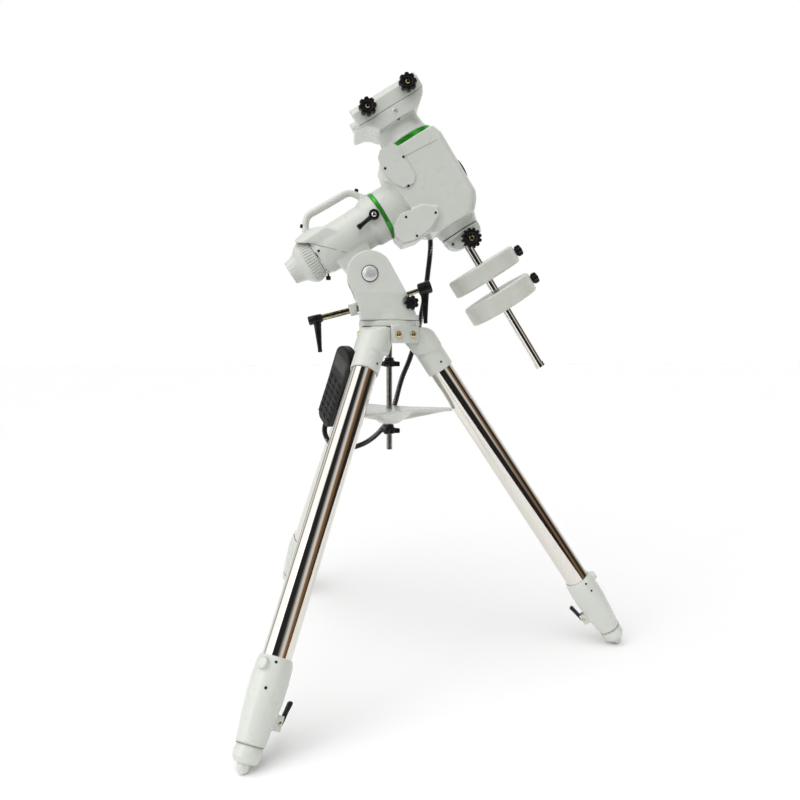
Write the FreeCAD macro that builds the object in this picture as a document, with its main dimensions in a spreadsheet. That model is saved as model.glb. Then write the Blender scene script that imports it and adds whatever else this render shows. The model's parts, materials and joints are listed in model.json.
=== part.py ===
"""Equatorial telescope mount on a folding field tripod, as separate pieces.

Model frame, in millimetres: +Z is up and the floor is Z = 0, the origin is where the tripod's
centre line meets the floor, and +X points north, the way the polar axis leans up.
"""
import FreeCAD, Part
import math
import os
import Sketcher
from FreeCAD import Placement, Rotation, Vector

doc = FreeCAD.newDocument("equatorial_mount")

# ---------------------------------------------------------------- driving dimensions
DIMENSIONS = {
    # where the axes cross, and how far the polar axis leans
    "latitude": 32.0,
    "axes_north": 87.86,
    "axes_height": 988.04,
    # tripod
    "leg_lean": 33.4,
    "leg_top_radius": 62.65,
    "leg_top_height": 678.7,
    "hinge_radius": 41.0,
    "hinge_height": 682.0,
    "hinge_pin_radius": 5.0,
    "leg_half_width": 32.3,
    "leg_tube_radius": 25.4,
    "leg_tube_wall": 1.6,
    "leg_tube_end": 655.0,
    "shoulder_end": 85.0,
    "cuff_start": 632.0,
    "cuff_end": 768.0,
    "inner_tube_radius": 21.0,
    "foot_ball_radius": 10.0,
    "plate_low": 698.5,
    "plate_top": 710.7,
    "plate_radius": 63.0,
    "rod_radius": 6.0,
    "rod_low": 440.0,
    "tray_top": 527.0,
    "tray_reach": 132.0,
    # azimuth base
    "base_low": 711.0,
    "base_radius": 62.0,
    "pivot_x": -41.6,
    "pivot_height": 802.0,
    "pivot_radius": 10.0,
    "ear_radius": 46.0,
    "ear_inside": 52.4,
    "ear_outside": 72.0,
    "peg_x": 40.8,
    "azimuth_screw_height": 745.0,
    # polar axis housing, along the polar axis
    "ring_low": -125.0,
    "ring_high": -119.0,
    "ring_radius": 52.5,
    "neck_radius": 52.0,
    "barrel_end": -278.0,
    "shaft_radius": 22.0,
    "bearing_radius": 34.0,
    "worm_wheel_radius": 44.0,
    # declination head, along the declination axis
    "head_half_width": 62.0,
    "head_front": 62.0,
    "head_top": 92.0,
    "head_bottom": -110.5,
    "dec_ring_radius": 57.5,
    "dec_ring_high": 101.5,
    "dec_wheel_radius": 40.0,
    # saddle and counterweights
    "saddle_floor": 168.0,
    "saddle_top": 200.0,
    "dovetail_half_width": 38.0,
    "saddle_half_width": 60.0,
    "weight_radius": 75.5,
    "bar_radius": 9.0,
    "bar_end": -432.0,
    # hand controller lead
    "lead_radius": 6.2,
}

sheet = doc.addObject("Spreadsheet::Sheet", "Dimensions")
for row, (alias, number) in enumerate(DIMENSIONS.items(), start=1):
    sheet.set(f"A{row}", alias)
    sheet.set(f"B{row}", str(number))
    sheet.setAlias(f"B{row}", alias)
doc.recompute()


class Size:
    """A size in millimetres or degrees, with the spreadsheet expression that gives it."""

    def __init__(self, value, text=None):
        self.value = float(value)
        self.fixed = text is None
        self.text = f"({value:.4f})" if text is None else text

    def joined(self, sign, other, value):
        other = as_size(other)
        if self.fixed and other.fixed:
            return Size(value)
        return Size(value, f"({self.text} {sign} {other.text})")

    def __add__(self, other):
        return self.joined("+", other, self.value + as_size(other).value)

    def __sub__(self, other):
        return self.joined("-", other, self.value - as_size(other).value)

    def __mul__(self, other):
        return self.joined("*", other, self.value * as_size(other).value)

    def __rsub__(self, other):
        return as_size(other) - self

    def __neg__(self):
        return self * -1

    __radd__ = __add__
    __rmul__ = __mul__


def as_size(number):
    return number if isinstance(number, Size) else Size(number)


class Dimensions:
    """Reads a driving dimension by name: D.ring_radius."""

    def __getattr__(self, name):
        return Size(DIMENSIONS[name], f"Dimensions.{name}")


D = Dimensions()


# ---------------------------------------------------------------- placements
def turned_to(direction):
    """The rotation that carries +Z onto a direction."""
    return Rotation(Vector(0, 0, 1), Vector(*direction))


def leg_frame(azimuth):
    """Leg frame: z runs down the leg's axis, x points at the tripod's centre line."""
    lean = Rotation(Vector(0, 1, 0), 180 - DIMENSIONS["leg_lean"])
    top = Vector(DIMENSIONS["leg_top_radius"], 0, DIMENSIONS["leg_top_height"])
    around = Placement(Vector(0, 0, 0), Rotation(Vector(0, 0, 1), azimuth))
    return around.multiply(Placement(top, lean))


# Head frame: x up the polar axis, z up the declination axis, the axes crossing at zero.
HEAD = Placement(
    Vector(DIMENSIONS["axes_north"], 0, DIMENSIONS["axes_height"]),
    Rotation(Vector(0, 1, 0), -DIMENSIONS["latitude"]),
)
UPRIGHT = Placement()
LEG_AZIMUTHS = {"north": 0, "near": -120, "far": 120}
ALONG_X = (1, 0, 0)
ALONG_Y = (0, 1, 0)
ALONG_Z = (0, 0, 1)


# ---------------------------------------------------------------- building blocks
def bind(thing, name, size):
    """Sets a size, and binds it to the sheet unless it is a plain number."""
    size = as_size(size)
    setattr(thing, name, size.value)
    if not size.fixed:
        thing.setExpression(name, size.text)


def put(thing, at, direction=ALONG_Z):
    """Places an object's origin at a point, with its own +Z along a direction."""
    values = [as_size(x) for x in at]
    thing.Placement = Placement(Vector(*[v.value for v in values]), turned_to(direction))
    for axis, size in zip("xyz", values):
        if not size.fixed:
            thing.setExpression(f"Placement.Base.{axis}", size.text)
    return thing


def block(low, high):
    """A box from its lowest to its highest corner."""
    thing = doc.addObject("Part::Box", "Block")
    for name, a, b in zip(("Length", "Width", "Height"), low, high):
        bind(thing, name, as_size(b) - a)
    return put(thing, low)


def rod(radius, length, at, direction=ALONG_Z):
    """A solid cylinder of that length from a point along a direction."""
    thing = doc.addObject("Part::Cylinder", "Rod")
    bind(thing, "Radius", radius)
    bind(thing, "Height", length)
    return put(thing, at, direction)


def ball(radius, at):
    thing = doc.addObject("Part::Sphere", "Ball")
    bind(thing, "Radius", radius)
    return put(thing, at)


def taper(radius_low, radius_high, length, at, direction=ALONG_Z):
    thing = doc.addObject("Part::Cone", "Taper")
    bind(thing, "Radius1", radius_low)
    bind(thing, "Radius2", radius_high)
    bind(thing, "Height", length)
    return put(thing, at, direction)


def tube(outer, inner, length, at, direction=ALONG_Z):
    return cut(rod(outer, length, at, direction), rod(inner, length, at, direction))


def fuse(*things):
    if len(things) == 1:
        return things[0]
    joined = doc.addObject("Part::MultiFuse", "Fuse")
    joined.Shapes = list(things)
    joined.Refine = True
    return joined


def cut(base, *tools):
    made = doc.addObject("Part::Cut", "Cut")
    made.Base = base
    made.Tool = fuse(*tools)
    return made


def common(base, tool):
    made = doc.addObject("Part::Common", "Common")
    made.Base = base
    made.Tool = tool
    return made


def group(*things):
    """Separate solids that share one name, such as identical screws."""
    made = doc.addObject("Part::Compound", "Group")
    made.Links = list(things)
    return made


def rounded(thing, radius, chosen):
    """Rounds the straight or curved edges that chosen(edge) picks."""
    doc.recompute()
    edges = [
        (number, radius, radius)
        for number, edge in enumerate(thing.Shape.Edges, start=1)
        if chosen(edge)
    ]
    made = doc.addObject("Part::Fillet", "Round")
    made.Base = thing
    made.Edges = edges
    return made


def runs_along(axis):
    """Picks straight edges parallel to an axis, 0 for x, 1 for y, 2 for z."""

    def chosen(edge):
        if not isinstance(edge.Curve, Part.Line):
            return False
        return abs(edge.tangentAt(edge.FirstParameter)[axis]) > 0.999

    return chosen


def sketch_on(body, plane, outline, offset):
    """A closed outline of straight sides, every corner dimensioned from the body's origin."""
    sketch = body.newObject("Sketcher::SketchObject", "Outline")
    origin = [f for f in body.Origin.OriginFeatures if f.Role == plane]
    sketch.AttachmentSupport = [(origin[0], "")]
    sketch.MapMode = "FlatFace"
    offset = as_size(offset)
    sketch.AttachmentOffset = Placement(Vector(0, 0, offset.value), Rotation())
    if not offset.fixed:
        sketch.setExpression("AttachmentOffset.Base.z", offset.text)
    corners = [(as_size(x), as_size(y)) for x, y in outline]
    for here, there in zip(corners, corners[1:] + corners[:1]):
        ends = [Vector(x.value, y.value, 0) for x, y in (here, there)]
        sketch.addGeometry(Part.LineSegment(*ends), False)
    count = len(corners)
    for side in range(count):
        sketch.addConstraint(Sketcher.Constraint("Coincident", side, 2, (side + 1) % count, 1))
    for side, corner in enumerate(corners):
        for kind, size in zip(("DistanceX", "DistanceY"), corner):
            number = sketch.addConstraint(
                Sketcher.Constraint(kind, -1, 1, side, 1, size.value)
            )
            if not size.fixed:
                sketch.setExpression(f"Constraints[{number}]", size.text)
    return sketch


def plate(outline, low, high, plane="XY_Plane"):
    """An outline padded from low to high along its plane's normal.

    The normal is +Z on XY_Plane, +X on YZ_Plane and -Y, the near side, on XZ_Plane.
    """
    body = doc.addObject("PartDesign::Body", "Plate")
    sketch = sketch_on(body, plane, outline, low)
    pad = body.newObject("PartDesign::Pad", "Pad")
    pad.Profile = (sketch, [""])
    bind(pad, "Length", as_size(high) - low)
    return body


def revolved(profile):
    """A profile of (radius, height) corners turned about +Z."""
    body = doc.addObject("PartDesign::Body", "Turned")
    sketch = sketch_on(body, "XZ_Plane", profile, 0)
    turn = body.newObject("PartDesign::Revolution", "Revolution")
    turn.Profile = (sketch, [""])
    turn.ReferenceAxis = (sketch, ["V_Axis"])
    turn.Angle = 360
    return body


def turned(profile, at=(0, 0, 0), direction=ALONG_Z):
    return put(revolved(profile), at, direction)


PARTS = {}


def piece(name, thing, frame=UPRIGHT):
    """Names a finished piece and sets it in its frame."""
    holder = thing
    if thing.TypeId == "PartDesign::Body" or thing.Placement != Placement():
        holder = group(thing)
    holder.Label = name
    holder.Placement = frame
    PARTS[name] = holder


def star_knob(radius, length, at, direction, lobes=7, bore=0.0):
    """A moulded hand knob: a hub with finger scallops round its rim."""
    knob = revolved(
        [
            (bore, 0),
            (radius * 0.62, 0),
            (radius * 0.7, length * 0.25),
            (radius, length * 0.35),
            (radius, length * 0.9),
            (radius * 0.86, length),
            (bore, length),
        ]
    )
    scallops = []
    for lobe in range(lobes):
        angle = 2 * math.pi * lobe / lobes
        reach = radius * 1.12
        spot = (reach * math.cos(angle), reach * math.sin(angle), -1)
        scallops.append(rod(radius * 0.24, length + 2, spot))
    shaped = cut(knob, *scallops)
    return put(shaped, at, direction)


# ---------------------------------------------------------------- tripod head
def tripod_head():
    """Top plate, three lugs that the legs hinge between, and the azimuth peg."""
    parts = [rod(D.plate_radius, D.plate_top - D.plate_low, (0, 0, D.plate_low))]
    for azimuth in (-60, 60, 180):
        lug = plate(
            [(38, 0), (58, -34.6), (62, -30), (62, 30), (58, 34.6)],
            664.5,
            D.plate_low + 1,
        )
        lug.Placement = Placement(Vector(0, 0, 0), Rotation(Vector(0, 0, 1), azimuth))
        parts.append(lug)
    bores = [rod(D.rod_radius + 0.3, 60, (0, 0, 660))]
    for azimuth in LEG_AZIMUTHS.values():
        bore = rod(D.hinge_pin_radius + 0.05, 86, (0, 0, 0))
        bore.Placement = hinge_placement(azimuth, -43)
        bores.append(bore)
    peg = rod(D.rod_radius, 40, (D.peg_x, 0, D.plate_top))
    piece("tripod_head", group(cut(fuse(*parts), *bores), peg))


def hinge_placement(azimuth, start):
    """Along a leg's hinge line, from a distance before its middle."""
    centre = Vector(DIMENSIONS["hinge_radius"], start, DIMENSIONS["hinge_height"])
    around = Placement(Vector(0, 0, 0), Rotation(Vector(0, 0, 1), azimuth))
    return around.multiply(Placement(centre, turned_to(ALONG_Y)))


def hinge_bolts():
    """Three hinge pins, and two button-headed bolts on the face of each lug."""
    things = []
    for azimuth in LEG_AZIMUTHS.values():
        pin = rod(D.hinge_pin_radius, 82, (0, 0, 0))
        pin.Placement = hinge_placement(azimuth, -41)
        things.append(pin)
    for azimuth in (-60, 60, 180):
        for side in (-18, 18):
            head = taper(6.6, 5.2, 3.4, (0, 0, 0))
            around = Placement(Vector(0, 0, 0), Rotation(Vector(0, 0, 1), azimuth))
            spot = Placement(Vector(62, side, 682), turned_to(ALONG_X))
            head.Placement = around.multiply(spot)
            things.append(head)
    piece("hinge_bolts", group(*things))


def centre_rod():
    piece("centre_rod", rod(D.rod_radius, D.base_low + 11 - D.rod_low, (0, 0, D.rod_low)))


def wing_knob(name, low):
    """A three-winged nut on the centre rod."""
    hub = rod(11.5, 19, (0, 0, low))
    wings = []
    for number in range(3):
        wing = block((4, -5.5, low), (22, 5.5, low + 11))
        around = Rotation(Vector(0, 0, 1), 120 * number + 10)
        wing.Placement = Placement(Vector(0, 0, 0), around).multiply(wing.Placement)
        wings.append(wing)
    piece(name, cut(fuse(hub, *wings), rod(D.rod_radius + 0.3, 19, (0, 0, low))))


def accessory_tray():
    """Three-armed spreader whose arm ends bear on the legs."""
    parts = [
        turned([(0, 496), (20, 496), (52, 519), (62, 527), (0, 527)]),
    ]
    for azimuth in LEG_AZIMUTHS.values():
        arm = plate([(20, -44), (20, 44), (D.tray_reach, 13), (D.tray_reach, -13)], 521, D.tray_top)
        rib = plate([(15, 499), (D.tray_reach - 8, 521), (15, 521)], -5, 5, "XZ_Plane")
        for thing in (arm, rib):
            thing.Placement = Placement(Vector(0, 0, 0), Rotation(Vector(0, 0, 1), azimuth))
            parts.append(thing)
    piece("accessory_tray", cut(fuse(*parts), rod(D.rod_radius + 0.3, 40, (0, 0, 490))))


# ---------------------------------------------------------------- tripod legs
# how far round the leg, from the side facing the tripod's middle, the clamp's lever sits
CLAMP_TURN = 27.0


def round_to_clamp(thing):
    around = Placement(Vector(0, 0, 0), Rotation(Vector(0, 0, 1), CLAMP_TURN))
    thing.Placement = around.multiply(thing.Placement)
    return thing


def leg_castings(name, frame):
    """The shoulder casting at the top of a leg tube and the cuff clamped on its lower end."""
    head = plate(
        [(-28.7, 48), (-33.2, 12), (-21.3, -7.4), (7.7, -26.6), (22, -27), (34, -6), (28.7, 30)],
        -D.leg_half_width,
        D.leg_half_width,
        "XZ_Plane",
    )
    head = common(rounded(head, 9.0, runs_along(1)), rod(35, 90, (4, 0, -35)))
    barrel = rod(D.leg_tube_radius + 3.3, D.shoulder_end, (0, 0, 0))
    pin = rod(D.hinge_pin_radius + 0.06, 80, (16.3, -40, -14.7), ALONG_Y)
    seat = rod(D.leg_tube_radius, D.shoulder_end, (0, 0, 12))
    shoulder = cut(fuse(head, barrel), pin, seat)
    r = D.leg_tube_radius
    cuff = turned(
        [
            (0, D.cuff_start),
            (r + 2.2, D.cuff_start),
            (r + 5.6, D.cuff_start + 12),
            (r + 6.8, D.cuff_start + 35),
            (r + 6.2, D.cuff_start + 62),
            (r + 2.6, D.cuff_start + 100),
            (r - 1.6, D.cuff_end),
            (0, D.cuff_end),
        ]
    )
    lug = round_to_clamp(block((24, -8, D.cuff_start + 83), (44, 8, D.cuff_start + 109)))
    boss = rod(9.5, 9, (-38.5, 0, D.cuff_start + 16), ALONG_X)
    slot = round_to_clamp(block((31.5, -4.2, D.cuff_start + 74), (48, 4.2, D.cuff_start + 115)))
    seat = rod(D.leg_tube_radius, D.leg_tube_end - D.cuff_start, (0, 0, D.cuff_start))
    slide = rod(D.inner_tube_radius + 0.08, 140, (0, 0, D.cuff_start))
    lever_pin = round_to_clamp(rod(3.0, 16, (39, -8, D.cuff_start + 96), ALONG_Y))
    cuff = cut(fuse(cuff, lug, boss), slot, seat, slide, lever_pin)
    piece(name, group(shoulder, cuff), frame)


def clamp_lever(name, frame):
    """The cam lever that grips the inner tube, folded against the cuff, and its pin."""
    hub = rod(7.0, 8, (39, -4, D.cuff_start + 96), ALONG_Y)
    arm = plate(
        [(40.5, 730), (46, 728), (54, 697), (51, 690), (46, 692), (42, 716)],
        -4,
        4,
        "XZ_Plane",
    )
    pin = rod(2.96, 15.6, (39, -7.8, D.cuff_start + 96), ALONG_Y)
    piece(name, round_to_clamp(fuse(hub, arm, pin)), frame)


def lower_leg(name, frame):
    """The inner tube that slides out of the leg, and its foot."""
    start = 110
    inner = cut(
        rod(D.inner_tube_radius, D.cuff_end + 2 - start, (0, 0, start)),
        rod(D.inner_tube_radius - 2, D.cuff_end + 2 - start, (0, 0, start)),
    )
    r = D.foot_ball_radius
    lean = math.cos(math.radians(DIMENSIONS["leg_lean"]))
    centre = (DIMENSIONS["leg_top_height"] - DIMENSIONS["foot_ball_radius"]) / lean
    foot = turned(
        [
            (0, D.cuff_end + 2),
            (21.5, D.cuff_end + 2),
            (23.5, D.cuff_end + 10),
            (23, D.cuff_end + 19),
            (18.5, D.cuff_end + 26),
            (r, D.cuff_end + 28),
            (r, centre),
            (0, centre),
        ]
    )
    foot = fuse(foot, ball(r, (0, 0, centre)))
    piece(name, group(inner, foot), frame)


def legs():
    for side, azimuth in LEG_AZIMUTHS.items():
        frame = leg_frame(azimuth)
        leg_castings(f"leg_castings_{side}", frame)
        bore = D.leg_tube_radius - D.leg_tube_wall
        piece(
            f"leg_tube_{side}",
            tube(D.leg_tube_radius, bore, D.leg_tube_end - 12, (0, 0, 12)),
            frame,
        )
        clamp_lever(f"clamp_lever_{side}", frame)
        lower_leg(f"lower_leg_{side}", frame)


# ---------------------------------------------------------------- azimuth base
REAR_BOLT = {"outer": (-149.8, 0, 713.8), "axis": (0.9684, 0, 0.2495)}
FRONT_BOLT = {"outer": (74.0, 0, 777.6), "axis": (-0.9461, 0, -0.3240)}


def along(start, axis, distance):
    return tuple(a + b * distance for a, b in zip(start, axis))


def azimuth_fork():
    """The turning base: flange, two ears that carry the altitude pivot, and bolt bosses."""
    side = plate(
        [
            (-61, D.base_low),
            (-64, 738),
            (-82, 782),
            (-84, 800),
            (2, 818),
            (22, 782),
            (43, 742),
            (52, 722),
            (53, D.base_low),
        ],
        -D.ear_outside,
        D.ear_outside,
        "XZ_Plane",
    )
    ear = rod(D.ear_radius, D.ear_outside * 2, (D.pivot_x, -D.ear_outside, D.pivot_height), ALONG_Y)
    half = D.ear_outside
    front = plate(
        [
            (-58, D.base_low),
            (-60, 724),
            (-half, 764),
            (-half, 850),
            (half, 850),
            (half, 764),
            (60, 724),
            (58, D.base_low),
        ],
        -120,
        80,
        "YZ_Plane",
    )
    shell = common(fuse(side, ear), front)
    flange = rod(D.base_radius, 11, (0, 0, D.base_low))
    rear_boss = rod(12.5, 30, along(REAR_BOLT["outer"], REAR_BOLT["axis"], 69), REAR_BOLT["axis"])
    front_boss = rod(15.5, 38, along(FRONT_BOLT["outer"], FRONT_BOLT["axis"], 34), FRONT_BOLT["axis"])
    screw_boss = rod(10.5, 124, (D.peg_x, -62, D.azimuth_screw_height), ALONG_Y)
    inside = D.ear_inside
    channel = block((-120, -inside, 756), (90, inside, 870))
    slot = block((-66.9, -15, 725), (14, 15, 780))
    peg_slot = block((D.peg_x - 12, -14, 700), (D.peg_x + 12, 14, 753))
    holes = [
        rod(D.rod_radius + 0.3, 30, (0, 0, 700)),
        rod(D.pivot_radius + 0.05, 170, (D.pivot_x, -85, D.pivot_height), ALONG_Y),
        rod(6.56, 60, along(REAR_BOLT["outer"], REAR_BOLT["axis"], 60), REAR_BOLT["axis"]),
        rod(5.06, 90, along(FRONT_BOLT["outer"], FRONT_BOLT["axis"], 10), FRONT_BOLT["axis"]),
        rod(4.06, 180, (D.peg_x, -90, D.azimuth_screw_height), ALONG_Y),
        rod(16.2, 14, (D.peg_x, 62.2, D.azimuth_screw_height), ALONG_Y),
        rod(16.2, 14, (D.peg_x, -62.2, D.azimuth_screw_height), (0, -1, 0)),
    ]
    body = cut(fuse(shell, flange, rear_boss, front_boss, screw_boss), channel, slot, peg_slot, *holes)
    piece("azimuth_fork", body)


def altitude_pivot():
    """The shaft that the head tilts on, with its two domed caps."""
    reach = D.ear_outside + 0.2
    shaft = rod(D.pivot_radius, reach * 2, (D.pivot_x, -reach, D.pivot_height), ALONG_Y)
    things = [shaft]
    for side in (-1, 1):
        cap = turned(
            [(0, 0.2), (15.5, 0.2), (15.0, 2.6), (12.6, 5.2), (8.0, 7.0), (3.0, 7.7), (0, 7.8)],
            (D.pivot_x, D.ear_outside * side, D.pivot_height),
            (0, side, 0),
        )
        things.append(cap)
    piece("altitude_pivot", fuse(*things))


def azimuth_knobs():
    """Two opposed screws that bear on the peg and turn the base."""
    for name, side in (("near", -1), ("far", 1)):
        outward = (0, side, 0)
        screw = rod(4, 50, (D.peg_x, 12.5 * side, D.azimuth_screw_height), outward)
        knob = star_knob(14.7, 15, (D.peg_x, 62.5 * side, D.azimuth_screw_height), outward, 6)
        piece(f"azimuth_knob_{name}", fuse(screw, knob))


def altitude_bolts():
    """Two opposed bolts that bear on the tongue below the pivot, each turned by a handle."""
    outer = REAR_BOLT["outer"]
    axis = REAR_BOLT["axis"]
    piece("rear_altitude_bolt", rod(6.5, 88, along(outer, axis, 12), axis))
    hub = rod(9.5, 30, along(outer, axis, -18.3), axis)
    grip = taper(8.0, 4.6, 66, outer, (0.085, 0, -0.9964))
    tip = ball(4.8, along(outer, (0.085, 0, -0.9964), 66))
    piece("rear_bolt_handle", fuse(hub, ball(10, outer), grip, tip))
    outer = FRONT_BOLT["outer"]
    axis = FRONT_BOLT["axis"]
    piece("front_altitude_bolt", rod(5, 62, along(outer, axis, 14.5), axis))
    hub = rod(13.5, 28, along(outer, axis, -14), axis)
    grip = taper(9.0, 4.4, 70, outer, (0.03, 0, -0.9995))
    tip = ball(4.4, along(outer, (0.03, 0, -0.9995), 70))
    piece("front_bolt_handle", fuse(hub, grip, tip))


# ---------------------------------------------------------------- polar axis housing
def polar_housing():
    """The tilting casting round the polar shaft, its hood, and its tongue between the bolts."""
    barrel = turned(
        [
            (0, D.ring_low),
            (50.6, D.ring_low),
            (50.2, -149),
            (45.6, -158),
            (44.8, -200),
            (46.0, -240),
            (44.5, -264),
            (40, D.barrel_end),
            (0, D.barrel_end),
        ],
        (0, 0, 0),
        ALONG_X,
    )
    hood = plate(
        [(-300, 49), (-276, 55.5), (-258, 54), (-238, 43), (-210, 12), (-222, 2), (-271, 21), (-299, 42)],
        -43,
        43,
        "XZ_Plane",
    )
    hood_round = rod(56, 92, (-302, 0, 0), ALONG_X)
    hood = common(hood, hood_round)
    front_foot = plate([(-148, 44), (-142, 56), (-127, 54), (-127, 40)], -16, 16, "XZ_Plane")
    pivot = (-208.4, 0, -89.2)
    lug = rod(30, 100, (pivot[0], -50, pivot[2]), ALONG_Y)
    web = plate(
        [(-250, -30), (-178, -30), (-183, -84), (-200, -118), (-226, -112), (-238, -84)],
        -50,
        50,
        "XZ_Plane",
    )
    # straight down from the pivot, in the head frame
    down = (-math.sin(math.radians(DIMENSIONS["latitude"])), 0, -math.cos(math.radians(DIMENSIONS["latitude"])))
    nose = rod(9, 26, along(pivot, down, 56), ALONG_Y)
    nose.Placement.Base = nose.Placement.Base + Vector(0, -13, 0)
    tongue = block((-9, -13, 0), (9, 13, 56))
    tongue.Placement = Placement(Vector(*pivot), turned_to(down)).multiply(tongue.Placement)
    lug_end = rod(44, 100, (pivot[0], -50, pivot[2]), ALONG_Y)
    body = fuse(barrel, hood, front_foot, common(fuse(lug, web), lug_end), nose, tongue)
    web_top = plate(
        [(-252, -20), (-176, -20), (-181, -62), (-244, -62)], -34, 34, "XZ_Plane"
    )
    body = fuse(body, web_top)
    bores = [
        rod(D.shaft_radius + 0.4, 200, (-300, 0, 0), ALONG_X),
        rod(D.pivot_radius + 0.05, 120, (pivot[0], -60, pivot[2]), ALONG_Y),
        rod(D.bearing_radius, 12, (-150, 0, 0), ALONG_X),
        rod(D.bearing_radius, 12, (-270, 0, 0), ALONG_X),
        rod(46.3, 24.3, (-302.5, 0, 0), ALONG_X),
    ]
    piece("ra_housing", cut(body, *bores), HEAD)


def polar_small_parts():
    """What sits on or in the polar housing."""
    ring = tube(D.ring_radius, 36, D.ring_high - D.ring_low, (D.ring_low, 0, 0), ALONG_X)
    piece("ra_ring", ring, HEAD)
    bearings = [
        tube(D.bearing_radius, D.shaft_radius + 0.05, 12, (start, 0, 0), ALONG_X)
        for start in (-150, -270)
    ]
    piece("ra_bearings", group(*bearings), HEAD)
    wheel = turned(
        [
            (D.shaft_radius + 0.3, D.ring_low),
            (33, D.ring_low),
            (33, -117),
            (D.worm_wheel_radius, -117),
            (D.worm_wheel_radius, -104),
            (D.shaft_radius + 0.3, -104),
        ],
        (0, 0, 0),
        ALONG_X,
    )
    piece("ra_worm_wheel", wheel, HEAD)
    hub = rod(10.5, 11, (-139, -50.9, 5), (0, -1, 0))
    arm = plate([(-139, 11), (-139, -1), (-174, -6), (-180, -2), (-178, 4)], 52.5, 60.5, "XZ_Plane")
    screw = rod(4.4, 2, (-139, -61.9, 5), (0, -1, 0))
    piece("ra_clutch_lever", fuse(hub, arm, screw), HEAD)


def carry_handle():
    """The bar over the polar housing, bent at both ends."""
    route = [
        (-271, 52),
        (-266, 61),
        (-260, 71),
        (-253.5, 77.5),
        (-244, 80),
        (-204, 78.4),
        (-164, 77.2),
        (-154.5, 75),
        (-148, 70),
        (-141, 60),
        (-137.5, 53),
    ]
    parts = []
    for here, there in zip(route, route[1:]):
        step = Vector(there[0] - here[0], 0, there[1] - here[1])
        run = rod(7.2, step.Length, (here[0], 0, here[1]), tuple(step))
        parts += [run, ball(7.2, (there[0], 0, there[1]))]
    foot = rod(8.6, 14, (-270.5, 0, 46), ALONG_Z)
    hood_top = [(-300, 0), (-300, 49.1), (-276, 55.6), (-258, 54.1), (-238, 43.1), (-238, 0)]
    foot_top = [(-148.2, 0), (-148.2, 44.1), (-142.1, 56.1), (-126.9, 54.1), (-126.9, 0)]
    seats = [plate(outline, -20, 20, "XZ_Plane") for outline in (hood_top, foot_top)]
    piece("carry_handle", cut(fuse(*parts, foot), *seats), HEAD)


def polar_knob():
    """The ribbed collar and cap of the polar scope, which turn together."""
    body = turned(
        [
            (14.6, -278.4),
            (38, -278.4),
            (42.6, -286),
            (45, -299),
            (43, -305),
            (39, -312),
            (32.5, -318),
            (28, -324),
            (24.5, -341),
            (22.3, -343),
            (0, -343),
            (0, -340),
            (14.6, -340),
        ],
        (0, 0, 0),
        ALONG_X,
    )
    piece("polar_knob", body, HEAD)


# ---------------------------------------------------------------- declination head
def dec_head():
    """The head casting: slab body, polar neck, lower neck and the polar motor's box."""
    w = D.head_half_width
    slab = plate(
        [
            (-54, D.head_top),
            (-62, D.head_top - 1),
            (-76, 85),
            (-82, 62),
            (-75, 30),
            (-70, -30),
            (-66, -82),
            (-46, -92),
            (40, -92),
            (D.head_front - 8, -76),
            (D.head_front, -60),
            (D.head_front, 74),
            (55, D.head_top),
        ],
        -w,
        w,
        "XZ_Plane",
    )
    slab = rounded(
        slab, 20.0, lambda edge: edge.CenterOfMass.x > 30 and abs(abs(edge.CenterOfMass.y) - 62) < 0.1
    )
    neck = rod(D.neck_radius, 60, (-118.3, 0, 0), ALONG_X)
    top = rod(57, 40, (0, 0, D.head_top - 40))
    lower = taper(41.5, 50, 30, (0, 0, D.head_bottom))
    box = plate(
        [
            (-92, -22),
            (-48, -30),
            (-24, -48),
            (-30, -66),
            (-60, -80),
            (-92, -84),
            (-121, -77),
            (-127, -56),
            (-119, -36),
        ],
        -22,
        67,
        "XZ_Plane",
    )
    port_bezel = rod(25, 6, (D.head_front - 3, 0, -5), ALONG_X)
    body = fuse(slab, neck, top, lower, box, port_bezel)
    shaft = D.shaft_radius
    hollows = [
        block((-56, -52, -68), (48, 52, 52)),
        rod(46.5, 24, (-120, 0, 0), ALONG_X),
        rod(53.4, 13, (-131.3, 0, 0), ALONG_X),
        rod(shaft, 50, (-100, 0, 0), ALONG_X),
        rod(shaft + 0.3, 240, (0, 0, -120)),
        block((-94, -62, -74), (-62, -28, -38)),
        rod(7.2, 62, (-110.5, -36, -50.3), ALONG_Y),
        rod(18, 30, (D.head_front - 22, 0, -5), ALONG_X),
    ]
    piece("dec_housing", cut(body, *hollows), HEAD)


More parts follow.
